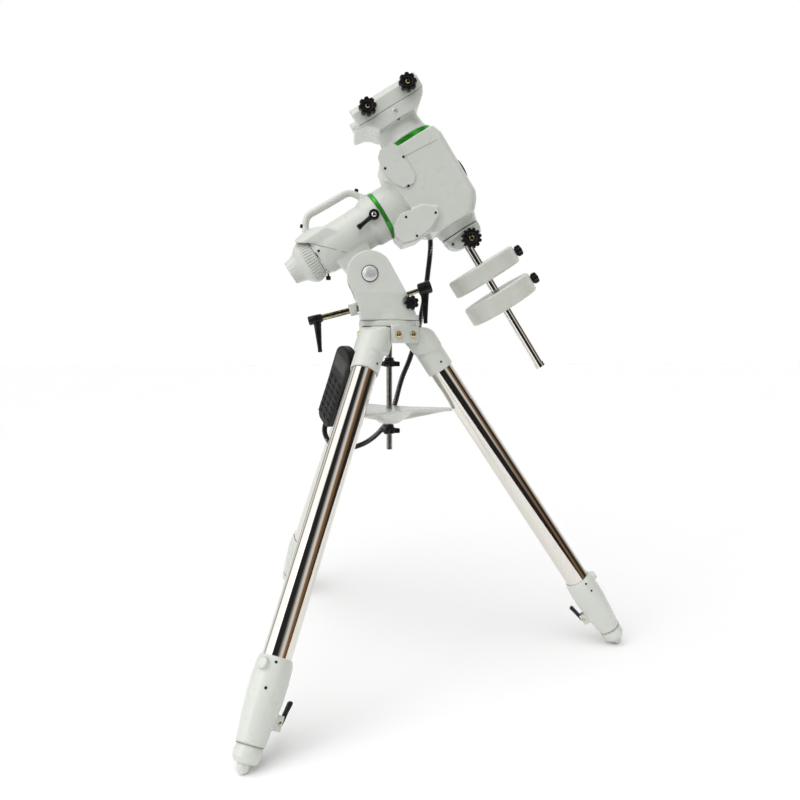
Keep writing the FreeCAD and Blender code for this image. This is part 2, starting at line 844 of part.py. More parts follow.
def head_small_parts():
    """Covers, drives, electronics and controls of the declination head."""
    polar_cover = plate(
        [
            (-92, -24),
            (-48, -32),
            (-26, -50),
            (-32, -64),
            (-60, -77),
            (-92, -81),
            (-120, -74),
            (-125, -56),
            (-117, -36),
        ],
        67,
        72,
        "XZ_Plane",
    )
    polar_cover = rounded(polar_cover, 6.0, runs_along(1))
    dec_cover = plate(
        [
            (-76, 92),
            (-82, 66),
            (-74, 34),
            (-62, 18),
            (-40, 15),
            (-30, 26),
            (-29, 90),
            (-37, 103),
            (-64, 103),
        ],
        D.head_half_width,
        D.head_half_width + 3,
        "XZ_Plane",
    )
    dec_cover = rounded(dec_cover, 5.0, runs_along(1))
    piece("motor_covers", group(polar_cover, dec_cover), HEAD)
    shaft = tube(D.shaft_radius, 14, 218, (-278, 0, 0), ALONG_X)
    piece("ra_shaft", shaft, HEAD)
    polar_drive = block((-93, -61, -73), (-63, -29, -39))
    polar_worm = rod(6, 46, (-110.5, -30, -50.3), ALONG_Y)
    dec_drive = block((-54, -50, -30), (-26, -16, 4))
    dec_worm = rod(5.6, 48, (-24, 45.9, 44), ALONG_X)
    piece("drives", group(polar_drive, polar_worm, dec_drive, dec_worm), HEAD)
    cap = turned(
        [(0, 65.2), (24.2, 65.2), (24.6, 68), (22.6, 70.2), (0, 70.8)], (0, 0, -5), ALONG_X
    )
    piece("front_cap", cap, HEAD)
    piece("dec_ring", tube(D.dec_ring_radius, 36, D.dec_ring_high - D.head_top, (0, 0, D.head_top)), HEAD)
    panel = block((-42, 62, -66), (34, 65, -34))
    sockets = [
        block((x, 58, -56), (x + 12, 66, -44)) for x in (-38, -20)
    ]
    switch_hole = block((10, 55, -58), (24, 66, -42))
    piece("port_panel", cut(panel, *sockets, switch_hole), HEAD)
    rocker = cut(
        rod(7.5, 13, (17, 60, -50), (1, 0, 0)),
        block((0, 40, -70), (40, 63.6, -30)),
    )
    rocker.Placement.Base = Vector(-6.5, 0, 0)
    piece("power_switch", rocker, HEAD)
    hub = rod(10.5, 11, (-14, 62.3, 80), ALONG_Y)
    arm = plate([(-14, 86), (-14, 74), (22, 70), (28, 74), (26, 79)], -72, -64, "XZ_Plane")
    piece("dec_clutch_lever", fuse(hub, arm), HEAD)


# ---------------------------------------------------------------- declination axis
def declination_axis():
    """The shaft through the head, its worm wheel and the counterweight bracket."""
    shaft = tube(D.shaft_radius, D.bar_radius + 0.3, 232, (0, 0, -112))
    piece("dec_shaft", shaft, HEAD)
    wheel = tube(D.dec_wheel_radius, D.shaft_radius, 12, (0, 0, 38))
    piece("dec_worm_wheel", wheel, HEAD)
    collar = taper(40, 41.5, 6, (0, 0, -117.3))
    lobes = fuse(
        rod(26, 52, (-12, -26, -118), ALONG_Y),
        rod(26, 52, (12, -26, -118), ALONG_Y),
        rod(18, 44, (4, -22, -130), ALONG_Y),
    )
    lobe = common(lobes, block((-60, -40, -160), (60, 40, -112)))
    boss = rod(12, 16, (4, -24, -136), (0, -1, 0))
    bracket = cut(
        fuse(collar, lobe, boss),
        rod(D.bar_radius + 0.06, 60, (0, 0, -160)),
        rod(D.shaft_radius, 10, (0, 0, -112)),
        rod(4.06, 60, (4, 0, -136), (0, -1, 0)),
    )
    piece("counterweight_bracket", bracket, HEAD)
    knob = star_knob(21, 16, (4, -41, -136), (0, -1, 0), 12)
    screw = rod(4, 30, (4, -12.4, -136), (0, -1, 0))
    piece("shaft_lock_knob", fuse(knob, screw), HEAD)
    bar = rod(D.bar_radius, -60 - D.bar_end, (0, 0, D.bar_end))
    stop = rod(10.8, 9, (0, 0, D.bar_end - 9))
    piece("counterweight_bar", fuse(bar, stop), HEAD)


def saddle():
    """The dovetail saddle: base with the fixed far jaw, moving near jaw and two knobs."""
    half = D.saddle_half_width
    neck = turned(
        [(0, 102.2), (54, 102.2), (50, 112), (47.5, 128), (47, 150), (0, 150)],
    )
    floor = plate(
        [
            (-85, 160),
            (-63, 156),
            (-52, 148),
            (-42, 136),
            (45, 136),
            (66, 152),
            (76, D.saddle_floor),
            (-84, D.saddle_floor),
        ],
        -half,
        half,
        "XZ_Plane",
    )
    # each jaw leans over the dovetail by the usual 15 degrees
    gap = D.dovetail_half_width
    far_jaw = plate(
        [
            (gap + 5, D.saddle_floor - 1),
            (gap, 188),
            (gap + 6, D.saddle_top),
            (half - 10, D.saddle_top),
            (half, 190),
            (half, D.saddle_floor - 1),
        ],
        -74,
        74,
        "YZ_Plane",
    )
    base = cut(
        fuse(neck, floor, far_jaw),
        rod(D.shaft_radius, 24, (0, 0, 96)),
        block((-90, -half - 1, 163.0), (90, -33, 170)),
        block((-90, gap - 1.5, 166.6), (90, gap + 4.9, D.saddle_floor + 0.2)),
    )
    piece("saddle", base, HEAD)
    near_jaw = plate(
        [
            (-gap - 5, 163.4),
            (-gap - 5, D.saddle_floor),
            (-gap, 188),
            (-gap - 6, D.saddle_top),
            (-half + 10, D.saddle_top),
            (-half, 188),
            (-half, 163.4),
        ],
        -74,
        74,
        "YZ_Plane",
    )
    spots = {"south": (-42.2, 183.0), "north": (48.6, 182.0)}
    holes = [rod(4.06, 30, (x, -70, z), ALONG_Y) for x, z in spots.values()]
    piece("saddle_jaw", cut(near_jaw, *holes), HEAD)
    for name, (x, z) in spots.items():
        knob = star_knob(18, 20, (x, -half - 0.4, z), (0, -1, 0))
        screw = rod(4, 17, (x, -half - 0.4, z), ALONG_Y)
        piece(f"saddle_knob_{name}", fuse(knob, screw), HEAD)


def counterweights():
    """Two round weights on the bar, each locked by a small knob on its rim."""
    for name, high, low in (("upper", -190, -227), ("lower", -255, -295)):
        r = D.weight_radius
        weight = turned(
            [
                (D.bar_radius + 0.08, low),
                (r - 3, low),
                (r, low + 3),
                (r, high - 3),
                (r - 3, high),
                (D.bar_radius + 0.08, high),
            ]
        )
        middle = (high + low) * 0.5
        hole = rod(3.56, 90, (0, 0, middle), ALONG_X)
        piece(f"weight_{name}", cut(weight, hole), HEAD)
        knob = star_knob(9.5, 13, (r + 0.8, 0, middle), ALONG_X, 5)
        screw = rod(3.5, r - 9.6, (9.7 + 1, 0, middle), ALONG_X)
        piece(f"weight_knob_{name}", fuse(knob, screw), HEAD)


# ---------------------------------------------------------------- hand controller and lead
def hand_controller():
    """The controller in its holder on the far leg, with its keys, in the leg's frame."""
    frame = leg_frame(LEG_AZIMUTHS["far"])
    shell = rounded(block((-35, 36, 34), (35, 60, 236.3)), 7.0, runs_along(1))
    case = cut(shell, block((-30, 58, 108), (30, 61, 224)))
    holder = cut(
        block((-27, 22.0, 70), (27, 40, 200)),
        rod(D.leg_tube_radius + 3.35, 200, (0, 0, 40)),
        block((-40, 35.9, 30), (40, 60, 240)),
    )
    cells = [
        block((x - 5, 59.8, z - 3.2), (x + 5, 62.4, z + 3.2))
        for z in range(118, 216, 16)
        for x in (-20, 0, 20)
    ]
    piece("handset", group(case, holder), frame)
    backing = block((-28, 59.1, 110), (28, 59.9, 222))
    piece("handset_keys", fuse(backing, *cells), frame)


# The lead's route: from its plug on the head's far side, round and down past the base, then in a
# loop up into the bottom of the controller.
LEAD_ROUTE = [
    (87.2, 83.0, 928.7),
    (87.2, 101.8, 928.7),
    (91.0, 119.0, 921.6),
    (97.0, 131.4, 908.5),
    (100.8, 137.1, 890.8),
    (100.3, 138.0, 865.0),
    (95.9, 132.0, 833.1),
    (90.6, 123.0, 794.5),
    (80.2, 116.0, 734.0),
    (68.2, 112.0, 678.1),
    (50.8, 111.0, 622.1),
    (35.3, 112.0, 588.3),
    (25.9, 113.5, 554.3),
    (16.9, 115.0, 517.8),
    (3.4, 117.0, 486.9),
    (-17.5, 119.5, 458.1),
    (-47.1, 123.5, 434.8),
    (-75.6, 131.0, 424.0),
    (-92.5, 140.6, 418.9),
    (-107.9, 150.0, 417.0),
    (-122.6, 156.2, 423.0),
    (-134.3, 158.3, 435.4),
    (-141.4, 156.5, 451.0),
    (-142.6, 151.0, 467.2),
    (-137.9, 142.9, 481.4),
]


def lead_wire(route):
    """Straight runs joined by tangent arcs, each arc as large as its two runs allow."""
    points = [Vector(*p) for p in route]
    edges = []
    start = points[0]
    radii = []
    for before, corner, after in zip(points, points[1:], points[2:]):
        into = (corner - before).normalize()
        out = (after - corner).normalize()
        turn = into.getAngle(out)
        reach = 0.45 * min((corner - before).Length, (after - corner).Length)
        radius = reach / math.tan(turn / 2)
        radii.append(round(radius, 1))
        first = corner - into * reach
        last = corner + out * reach
        inward = (out - into).normalize()
        middle = corner + inward * (radius / math.cos(turn / 2) - radius)
        edges.append(Part.LineSegment(start, first).toShape())
        edges.append(Part.Arc(first, middle, last).toShape())
        start = last
    edges.append(Part.LineSegment(start, points[-1]).toShape())
    print("lead radii", radii)
    return Part.Wire(edges)


def lead():
    """The controller's curly lead, as one fat tube of its outer diameter, and its plug."""
    wire = lead_wire(LEAD_ROUTE)
    radius = DIMENSIONS["lead_radius"]
    first = Vector(*LEAD_ROUTE[0])
    section = Part.Wire([Part.Circle(first, Vector(*ALONG_Y), radius).toShape()])
    shape = wire.makePipeShell([section], True, True)
    wanted = math.pi * radius**2 * wire.Length
    print("lead length", round(wire.Length, 1), "volume ratio", round(shape.Volume / wanted, 4))
    thing = doc.addObject("Part::Feature", "Lead")
    thing.Shape = shape
    thing.Label = "controller_lead"
    PARTS["controller_lead"] = thing
    x, end, z = LEAD_ROUTE[0]
    latch = rod(5.2, 5.6, (x, end - 20.6, z), ALONG_Y)
    grip = rod(6.6, 17.4, (x, end - 17.4, z), ALONG_Y)
    piece("lead_plug", fuse(latch, grip))


# ---------------------------------------------------------------- build, check and write
def write_parts():
    doc.recompute()
    wrong = [o.Name for o in doc.Objects if {"Invalid", "Error"} & set(o.State)]
    if wrong:
        raise RuntimeError(f"objects that failed to compute: {wrong}")
    os.makedirs("parts", exist_ok=True)
    for name, thing in PARTS.items():
        shape = thing.Shape
        if shape.isNull() or not shape.isValid() or not shape.Solids:
            raise RuntimeError(f"{name} is not a valid solid")
        shape.exportStep(f"parts/{name}.step")
        box = shape.BoundBox
        print(
            f"{name:24s} solids {len(shape.Solids)} volume {shape.Volume:12.0f} "
            f"X {box.XMin:7.1f} {box.XMax:7.1f} Y {box.YMin:7.1f} {box.YMax:7.1f} "
            f"Z {box.ZMin:7.1f} {box.ZMax:7.1f}"
        )
    print(len(PARTS), "pieces")


tripod_head()
hinge_bolts()
centre_rod()
wing_knob("rod_knob", 614.6)
wing_knob("tray_knob", 473.6)
accessory_tray()
legs()
azimuth_fork()
altitude_pivot()
azimuth_knobs()
altitude_bolts()
polar_housing()
polar_small_parts()
carry_handle()
polar_knob()
dec_head()
head_small_parts()
declination_axis()
saddle()
counterweights()
hand_controller()
lead()
write_parts()
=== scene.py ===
"""Looks of the equatorial mount: camera, lead, materials, detailed pieces, light and floor."""

import json
import math

import bmesh
import bpy
from mathutils import Matrix, Vector


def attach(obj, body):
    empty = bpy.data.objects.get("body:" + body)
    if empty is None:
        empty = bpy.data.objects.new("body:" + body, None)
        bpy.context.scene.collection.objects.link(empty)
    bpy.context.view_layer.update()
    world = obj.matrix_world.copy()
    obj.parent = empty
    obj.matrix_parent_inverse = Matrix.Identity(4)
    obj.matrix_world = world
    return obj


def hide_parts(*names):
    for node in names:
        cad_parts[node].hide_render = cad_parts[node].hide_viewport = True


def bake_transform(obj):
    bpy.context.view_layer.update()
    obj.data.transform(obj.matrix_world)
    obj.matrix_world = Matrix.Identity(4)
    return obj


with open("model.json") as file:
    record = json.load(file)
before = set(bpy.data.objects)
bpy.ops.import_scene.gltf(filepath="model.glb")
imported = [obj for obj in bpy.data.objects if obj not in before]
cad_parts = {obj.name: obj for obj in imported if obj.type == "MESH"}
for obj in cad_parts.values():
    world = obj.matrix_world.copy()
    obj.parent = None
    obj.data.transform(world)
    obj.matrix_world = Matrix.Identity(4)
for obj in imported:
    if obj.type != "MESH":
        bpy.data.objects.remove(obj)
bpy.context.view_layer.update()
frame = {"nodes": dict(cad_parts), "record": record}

MM = 0.001
X, Y, Z = Vector((1, 0, 0)), Vector((0, 1, 0)), Vector((0, 0, 1))
LATITUDE = math.radians(32)
# where the polar and declination axes cross
AXES = Vector((0.08786, 0, 0.98804))
LEG_LEAN = math.radians(180 - 33.4)
LEG_TOP = Vector((0.06265, 0, 0.6787))
AZIMUTHS = {"north": 0, "near": -120, "far": 120}
SLOTS = {part["node"]: part["material_slot"] for part in frame["record"]["subparts"]}
BODIES = {
    node: body for body, nodes in frame["record"]["behaviour"]["bodies"].items() for node in nodes
}


# ---------------------------------------------------------------- camera
SENSOR_WIDTH = 36
FOCAL_LENGTH = 33.12
CAMERA_PLACE = (-0.07914, -1.54173, 0.68605)
CAMERA_LOOK = Vector((0.06553, 0.99365, -0.09139))


def make_camera():
    data = bpy.data.cameras.new("camera")
    data.sensor_width = SENSOR_WIDTH
    data.lens = FOCAL_LENGTH
    data.clip_start = 0.05
    data.clip_end = 60
    camera = bpy.data.objects.new("camera", data)
    camera.location = CAMERA_PLACE
    camera.rotation_mode = "QUATERNION"
    camera.rotation_quaternion = CAMERA_LOOK.to_track_quat("-Z", "Y")
    bpy.context.scene.collection.objects.link(camera)
    bpy.context.scene.camera = camera


# ---------------------------------------------------------------- frames of reference, in metres
def head_frame():
    """Local x runs along the polar axis, local z along the declination axis."""
    return Matrix.Translation(AXES) @ Matrix.Rotation(-LATITUDE, 4, "Y")


def leg_frame(azimuth):
    """Local z runs down the leg, local x towards the tripod's middle."""
    turn = Matrix.Rotation(math.radians(azimuth), 4, "Z")
    return turn @ Matrix.Translation(LEG_TOP) @ Matrix.Rotation(LEG_LEAN, 4, "Y")


HEAD = head_frame()
LEGS = {side: leg_frame(azimuth) for side, azimuth in AZIMUTHS.items()}
UPRIGHT = Matrix.Identity(4)


def mm(*values):
    return Vector(values) * MM


def facing(at, direction, space=UPRIGHT):
    """A frame whose z axis points along a direction; the point is in millimetres."""
    turn = Vector(direction).normalized().to_track_quat("Z", "Y").to_matrix().to_4x4()
    return space @ Matrix.Translation(mm(*at)) @ turn


# ---------------------------------------------------------------- node materials
# most of a noise texture's values lie between these two
NOISE_LOW, NOISE_HIGH = 0.3, 0.7


def set_stops(ramp, stops):
    """Gives a colour ramp its stops, each a position and a colour."""
    elements = ramp.color_ramp.elements
    while len(elements) < len(stops):
        elements.new(0.5)
    for element, (position, colour) in zip(elements, stops):
        element.position = position
        element.color = (*colour, 1)


class Nodes:
    """A material's node tree, built step by step."""

    def __init__(self, name):
        self.material = bpy.data.materials.new(name)
        self.material.use_nodes = True
        self.tree = self.material.node_tree
        self.shader = self.tree.nodes["Principled BSDF"]
        self.place = self.tree.nodes.new("ShaderNodeTexCoord").outputs["Object"]

    def link(self, source, target):
        self.tree.links.new(source, target)

    def mapped(self, scale, turn):
        node = self.tree.nodes.new("ShaderNodeMapping")
        node.inputs["Rotation"].default_value = turn
        node.inputs["Scale"].default_value = scale
        self.link(self.place, node.inputs["Vector"])
        return node.outputs["Vector"]

    def noise(self, scale, detail, vector=None):
        node = self.tree.nodes.new("ShaderNodeTexNoise")
        node.inputs["Scale"].default_value = scale
        node.inputs["Detail"].default_value = detail
        self.link(vector or self.place, node.inputs["Vector"])
        return node.outputs["Fac"]

    def ramp(self, factor, stops):
        node = self.tree.nodes.new("ShaderNodeValToRGB")
        set_stops(node, stops)
        self.link(factor, node.inputs["Fac"])
        return node.outputs["Color"]

    def ranged(self, factor, low, high):
        node = self.tree.nodes.new("ShaderNodeMapRange")
        node.inputs["From Min"].default_value = NOISE_LOW
        node.inputs["From Max"].default_value = NOISE_HIGH
        node.inputs["To Min"].default_value = low
        node.inputs["To Max"].default_value = high
        self.link(factor, node.inputs["Value"])
        return node.outputs["Result"]

    def bump(self, height, strength, distance):
        node = self.tree.nodes.new("ShaderNodeBump")
        node.inputs["Strength"].default_value = strength
        node.inputs["Distance"].default_value = distance
        self.link(height, node.inputs["Height"])
        self.link(node.outputs["Normal"], self.shader.inputs["Normal"])

    def colour(self, source):
        self.link(source, self.shader.inputs["Base Color"])

    def rough(self, source):
        self.link(source, self.shader.inputs["Roughness"])

    def fixed(self, **values):
        for name, value in values.items():
            self.shader.inputs[name.replace("_", " ")].default_value = value


def enamel(name, light, dark, gloss=0.30):
    """Powder coat: a faint mottle, a fine orange peel and a soft gloss."""
    n = Nodes(name)
    mottle, sheen, peel = n.noise(9, 4), n.noise(40, 3), n.noise(1100, 2)
    n.colour(n.ramp(mottle, [(NOISE_LOW, dark), (NOISE_HIGH, light)]))
    n.rough(n.ranged(sheen, gloss - 0.05, gloss + 0.07))
    n.bump(peel, 0.10, 0.0004)
    n.fixed(Coat_Weight=0.25, Coat_Roughness=0.12)
    return n.material


def plastic(name, light, dark, gloss, grain, depth):
    """Moulded plastic or rubber: fine spark-eroded grain and slightly uneven sheen."""
    n = Nodes(name)
    mottle, sheen, sparks = n.noise(60, 4), n.noise(120, 3), n.noise(grain, 2)
    n.colour(n.ramp(mottle, [(0.35, dark), (0.7, light)]))
    n.rough(n.ranged(sheen, gloss - 0.07, gloss + 0.09))
    n.bump(sparks, depth, 0.0003)
    n.fixed(Specular_IOR_Level=0.35)
    return n.material


def metal(
    name, light, dark, gloss, stretch, turn=(0, 0, 0), depth=0.05, spread=0.05, metallic=1.0
):
    """Machined metal: fine lines in colour, gloss and relief.

    The stretch is how finely the noise varies along x, y and z; the turn is applied after it.
    """
    n = Nodes(name)
    lines = n.noise(1.0, 3, n.mapped(stretch, turn))
    n.colour(n.ramp(lines, [(0.35, dark), (0.65, light)]))
    n.rough(n.ranged(lines, gloss - spread * 0.5, gloss + spread))
    n.bump(lines, depth, 0.0001)
    n.fixed(Metallic=metallic)
    return n.material


WHITE = enamel("white_enamel", (0.640, 0.660, 0.612), (0.612, 0.632, 0.584))
WEIGHT_WHITE = enamel("weight_enamel", (0.600, 0.612, 0.555), (0.566, 0.578, 0.522), 0.36)

BLACK = plastic(
    "black_plastic", (0.0090, 0.0094, 0.0100), (0.0045, 0.0048, 0.0052), 0.30, 1600, 0.25
)
HANDSET_BLACK = plastic(
    "handset_plastic", (0.0060, 0.0060, 0.0062), (0.0035, 0.0035, 0.0038), 0.44, 2200, 0.3
)
RUBBER = plastic("key_rubber", (0.020, 0.020, 0.021), (0.013, 0.013, 0.014), 0.60, 1800, 0.3)
LEAD_BLACK = plastic(
    "lead_jacket", (0.0080, 0.0080, 0.0085), (0.0045, 0.0045, 0.0050), 0.38, 2500, 0.2
)
# painted shade: a dark brown line standing for the shade along the joints between castings
SEAM_SHADE = plastic("seam_shadow", (0.075, 0.070, 0.060), (0.045, 0.042, 0.036), 0.7, 1500, 0.3)

# fine along z only, for threads; the other metals are as fine all ways
THREAD = (60, 60, 1400)
BRIGHT, BRIGHT_DARK = (0.86, 0.86, 0.87), (0.78, 0.78, 0.79)
CHROME = metal("chrome", BRIGHT, BRIGHT_DARK, 0.07, (300, 300, 300), depth=0.02)
STEEL = metal("turned_steel", (0.66, 0.65, 0.63), (0.50, 0.49, 0.47), 0.20, (700, 700, 700))
ROD_STEEL = metal("rod_steel", (0.42, 0.40, 0.37), (0.22, 0.21, 0.19), 0.22, THREAD)
BOLT_STEEL = metal("bolt_steel", (0.58, 0.51, 0.37), (0.30, 0.25, 0.17), 0.16, THREAD)
SATIN = metal(
    "satin_steel", BRIGHT, BRIGHT_DARK, 0.40, (300, 300, 300), depth=0.02, metallic=0.6
)
BRASS = metal("brass", (0.80, 0.66, 0.38), (0.62, 0.48, 0.24), 0.22, (500, 500, 500))
BRONZE = metal("bronze", (0.66, 0.42, 0.20), (0.50, 0.30, 0.13), 0.30, (500, 500, 500))
DARK_METAL = metal(
    "dark_metal", (0.06, 0.06, 0.065), (0.03, 0.03, 0.033), 0.38, (400, 400, 400)
)

# the turn of the noise on the tilted pieces
TILT = (0, LATITUDE, 0)
GREEN, GREEN_DARK = (0.07, 0.60, 0.05), (0.035, 0.36, 0.03)
BAR_STEEL = metal(
    "bar_steel", (0.84, 0.82, 0.79), (0.76, 0.74, 0.71), 0.05, (900, 900, 10), TILT, 0.02, 0.03
)
GREEN_POLAR = metal(
    "green_polar", GREEN, GREEN_DARK, 0.26, (2200, 40, 40), TILT, 0.12, metallic=0.65
)
GREEN_DEC = metal(
    "green_dec", GREEN, GREEN_DARK, 0.26, (40, 40, 2200), TILT, 0.12, metallic=0.65
)


def tube_steel(side):
    """Polished tube, almost a mirror, with faint upright lines."""
    light, dark = (0.80, 0.775, 0.725), (0.73, 0.705, 0.655)
    along = LEGS[side].inverted().to_euler()
    return metal(f"leg_steel_{side}", light, dark, 0.06, (700, 700, 5), along, 0.02, 0.03)


TUBES = {side: tube_steel(side) for side in LEGS}

SLOT_LOOKS = {
    "white_enamel": WHITE,
    "white_weight": WEIGHT_WHITE,
    "polished_steel": CHROME,
    "green_anodised": GREEN_POLAR,
    "black_plastic": BLACK,
    "black_rubber": RUBBER,
    "handset_plastic": HANDSET_BLACK,
    "bearing_steel": STEEL,
    "bronze": BRONZE,
    "motor_black": DARK_METAL,
    "stainless_tube": TUBES["north"],
}
NODE_LOOKS = {
    "dec_ring": GREEN_DEC,
    "counterweight_bar": BAR_STEEL,
    "centre_rod": ROD_STEEL,
    "hinge_bolts": STEEL,
    "leg_tube_near": TUBES["near"],
    "leg_tube_far": TUBES["far"],
    "altitude_pivot": SATIN,
    "rear_altitude_bolt": BOLT_STEEL,
    "front_altitude_bolt": BOLT_STEEL,
}


def dress(thing, look):
    thing.data.materials.clear()
    thing.data.materials.append(look)


def dress_nodes():
    for node, thing in frame["nodes"].items():
        dress(thing, NODE_LOOKS.get(node, SLOT_LOOKS[SLOTS[node]]))


# ---------------------------------------------------------------- making pieces
SHARP_EDGE = math.radians(38)
BEVELLED_EDGE = math.radians(35)
BEVEL_SEGMENTS = 3
# the share of a casting's remeshed faces that is kept
CAST_KEPT = 0.4


def new_piece(name, verts, faces, matrix, body, look):
    """A mesh piece from points in metres, put in a frame and set to ride on a body."""
    mesh = bpy.data.meshes.new(name)
    mesh.from_pydata([tuple(matrix @ Vector(v)) for v in verts], [], faces)
    thing = bpy.data.objects.new(name, mesh)
    bpy.context.scene.collection.objects.link(thing)
    finish_mesh(thing)
    dress(thing, look)
    if body:
        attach(thing, body)
    return thing


def finish_mesh(thing):
    """Faces outward, shading smooth except across sharp edges."""
    work = bmesh.new()
    work.from_mesh(thing.data)
    bmesh.ops.recalc_face_normals(work, faces=work.faces)
    for face in work.faces:
        face.smooth = True
    for edge in work.edges:
        if edge.is_manifold and edge.calc_face_angle(0) > SHARP_EDGE:
            edge.smooth = False
    work.to_mesh(thing.data)
    work.free()


def rings(sections):
    """Points and faces of a skin through rings of equal count, capped at both ends."""
    count = len(sections[0])
    verts = [point for ring in sections for point in ring]
    faces = []
    for level in range(len(sections) - 1):
        low, high = level * count, (level + 1) * count
        for i in range(count):
            j = (i + 1) % count
            faces.append((low + i, low + j, high + j, high + i))
    faces.append(tuple(reversed(range(count))))
    faces.append(tuple(range(len(verts) - count, len(verts))))
    return verts, faces


def angles(steps):
    return [2 * math.pi * k / steps for k in range(steps)]


def circle(radius, height, steps):
    """A level ring of points in metres, from a radius and a height in millimetres."""
    return [mm(radius * math.cos(a), radius * math.sin(a), height) for a in angles(steps)]


def section(middle, side, up, radius, steps):
    """A ring of points about a middle, in the plane of two unit vectors, all in metres."""
    return [middle + (side * math.cos(a) + up * math.sin(a)) * radius for a in angles(steps)]


def lathe(name, profile, matrix, body, look, steps=40):
    """A turned piece; the profile is (radius, height) in millimetres, bottom first."""
    verts, faces = rings([circle(max(r, 0.01), h, steps) for r, h in profile])
    return new_piece(name, verts, faces, matrix, body, look)


def heading(points, i):
    """The way a line of points runs at one of them."""
    return (points[min(i + 1, len(points) - 1)] - points[max(i - 1, 0)]).normalized()


def tube_along(name, points, radii, matrix, body, look, steps):
    """A round bar through points in millimetres, with a radius at each."""
    points = [mm(*p) for p in points]
    sections = []
    side = None
    for i, point in enumerate(points):
        ahead = heading(points, i)
        side = (side - ahead * side.dot(ahead)) if side else ahead.orthogonal()
        side.normalize()
        sections.append(section(point, side, ahead.cross(side), radii[i] * MM, steps))
    verts, faces = rings(sections)
    return new_piece(name, verts, faces, matrix, body, look)


def slab(name, outline, low, high, matrix, body, look, bevel):
    """A flat outline in local x and z given a thickness along local y, its edges rounded."""
    base = [mm(x, low, z) for x, z in outline]
    top = [mm(x, high, z) for x, z in outline]
    verts, faces = rings([base, top])
    thing = new_piece(name, verts, faces, matrix, body, look)
    soften(thing, bevel)
    return thing


def soften(thing, width):
    """Rounds the sharp edges of a piece or a CAD node."""
    modifier = thing.modifiers.new("edges", "BEVEL")
    modifier.width = width * MM
    modifier.segments = BEVEL_SEGMENTS
    modifier.limit_method = "ANGLE"
    modifier.angle_limit = BEVELLED_EDGE


def screw(name, radius, matrix, body, look, dome=0.45, cross=False):
    """A small screw head with a dished rim, and a cross cut in its dome when asked for."""
    arm, slit, cut = radius * 0.55, radius * 0.16, radius * 0.45
    levels = [(1.0, -0.6), (1.0, 0.12), (0.93, 0.24), (0.75, 0.34), (0.55, 0.42)]
    levels += [(0.36, dome), (0.18, dome), (0.02, dome)]
    sections = []
    for share, height in levels:
        ring = []
        for point in circle(radius * share, height * radius, 32):
            x, y = point.x / MM, point.y / MM
            if cross and math.hypot(x, y) < arm and min(abs(x), abs(y)) < slit:
                point.z -= cut * MM
            ring.append(point)
        sections.append(ring)
    verts, faces = rings(sections)
    return new_piece(name, verts, faces, matrix, body, look)


def seam(name, points, matrix, body, width=0.28, look=SEAM_SHADE):
    """A fine dark line along a joint between two castings: painted shade in the joint."""
    return tube_along(name, points, [width] * len(points), matrix, body, look, 6)


def cast(node, voxel, passes, look):
    """A casting's own shape with its edges rounded off, as a new piece that stands for it."""
    source = frame["nodes"][node]
    thing = bpy.data.objects.new(f"{node}_cast", source.data.copy())
    bpy.context.scene.collection.objects.link(thing)
    remesh = thing.modifiers.new("even", "REMESH")
    remesh.mode = "VOXEL"
    remesh.voxel_size = voxel * MM
    blur = thing.modifiers.new("blur", "SMOOTH")
    blur.factor = 0.5
    blur.iterations = passes
    thin = thing.modifiers.new("thin", "DECIMATE")
    thin.ratio = CAST_KEPT
    even = thing.modifiers.new("even_out", "SMOOTH")
    even.factor = 0.5
    even.iterations = 4
    shown = thing.evaluated_get(bpy.context.evaluated_depsgraph_get())
    mesh = bpy.data.meshes.new_from_object(shown)
    thing.modifiers.clear()
    thing.data = mesh
    for polygon in mesh.polygons:
        polygon.use_smooth = True
    dress(thing, look)
    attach(thing, BODIES[node])
    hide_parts(node)


# ---------------------------------------------------------------- the controller's lead
LEAD_ROUTE = [
    (0.0872, 0.0830, 0.9287),
    (0.0872, 0.1018, 0.9287),
    (0.0910, 0.1190, 0.9216),
    (0.0970, 0.1314, 0.9085),
    (0.1008, 0.1371, 0.8908),
    (0.1003, 0.1380, 0.8650),
    (0.0959, 0.1320, 0.8331),
    (0.0906, 0.1230, 0.7945),
    (0.0802, 0.1160, 0.7340),
    (0.0682, 0.1120, 0.6781),
    (0.0508, 0.1110, 0.6221),
    (0.0353, 0.1120, 0.5883),
    (0.0259, 0.1135, 0.5543),
    (0.0169, 0.1150, 0.5178),
    (0.0034, 0.1170, 0.4869),
    (-0.0175, 0.1195, 0.4581),
    (-0.0471, 0.1235, 0.4348),
    (-0.0756, 0.1310, 0.4240),
    (-0.0925, 0.1406, 0.4189),
    (-0.1079, 0.1500, 0.4170),
    (-0.1226, 0.1562, 0.4230),
    (-0.1343, 0.1583, 0.4354),
    (-0.1414, 0.1565, 0.4510),
    (-0.1426, 0.1510, 0.4672),
    (-0.1379, 0.1429, 0.4814),
]
LEAD_RADIUS = 0.0062
WIRE_RADIUS, WIRE_PITCH, WIRE_SIDES = 0.00165, 0.0036, 6
# the distance between the line's points, and how many of them the path steps over
LEAD_STEP, PATH_STRIDE = 0.00023, 8
# each stretch: how far along the lead it ends, the two bodies that it bends between, and where
# the bend starts and ends
LEAD_STRETCHES = [
    (0.150, "dec_head", "polar_housing", (0, 0, 0.915), (0, 0, 0.835)),
    (0.245, "polar_housing", "azimuth_base", (0, 0, 0.805), (0, 0, 0.735)),
    (0.340, "azimuth_base", "tripod_head", (0, 0, 0.705), (0, 0, 0.645)),
    (9.0, "tripod_head", "leg_far", (0.010, 0.117, 0.560), (-0.085, 0.117, 0.445)),
]


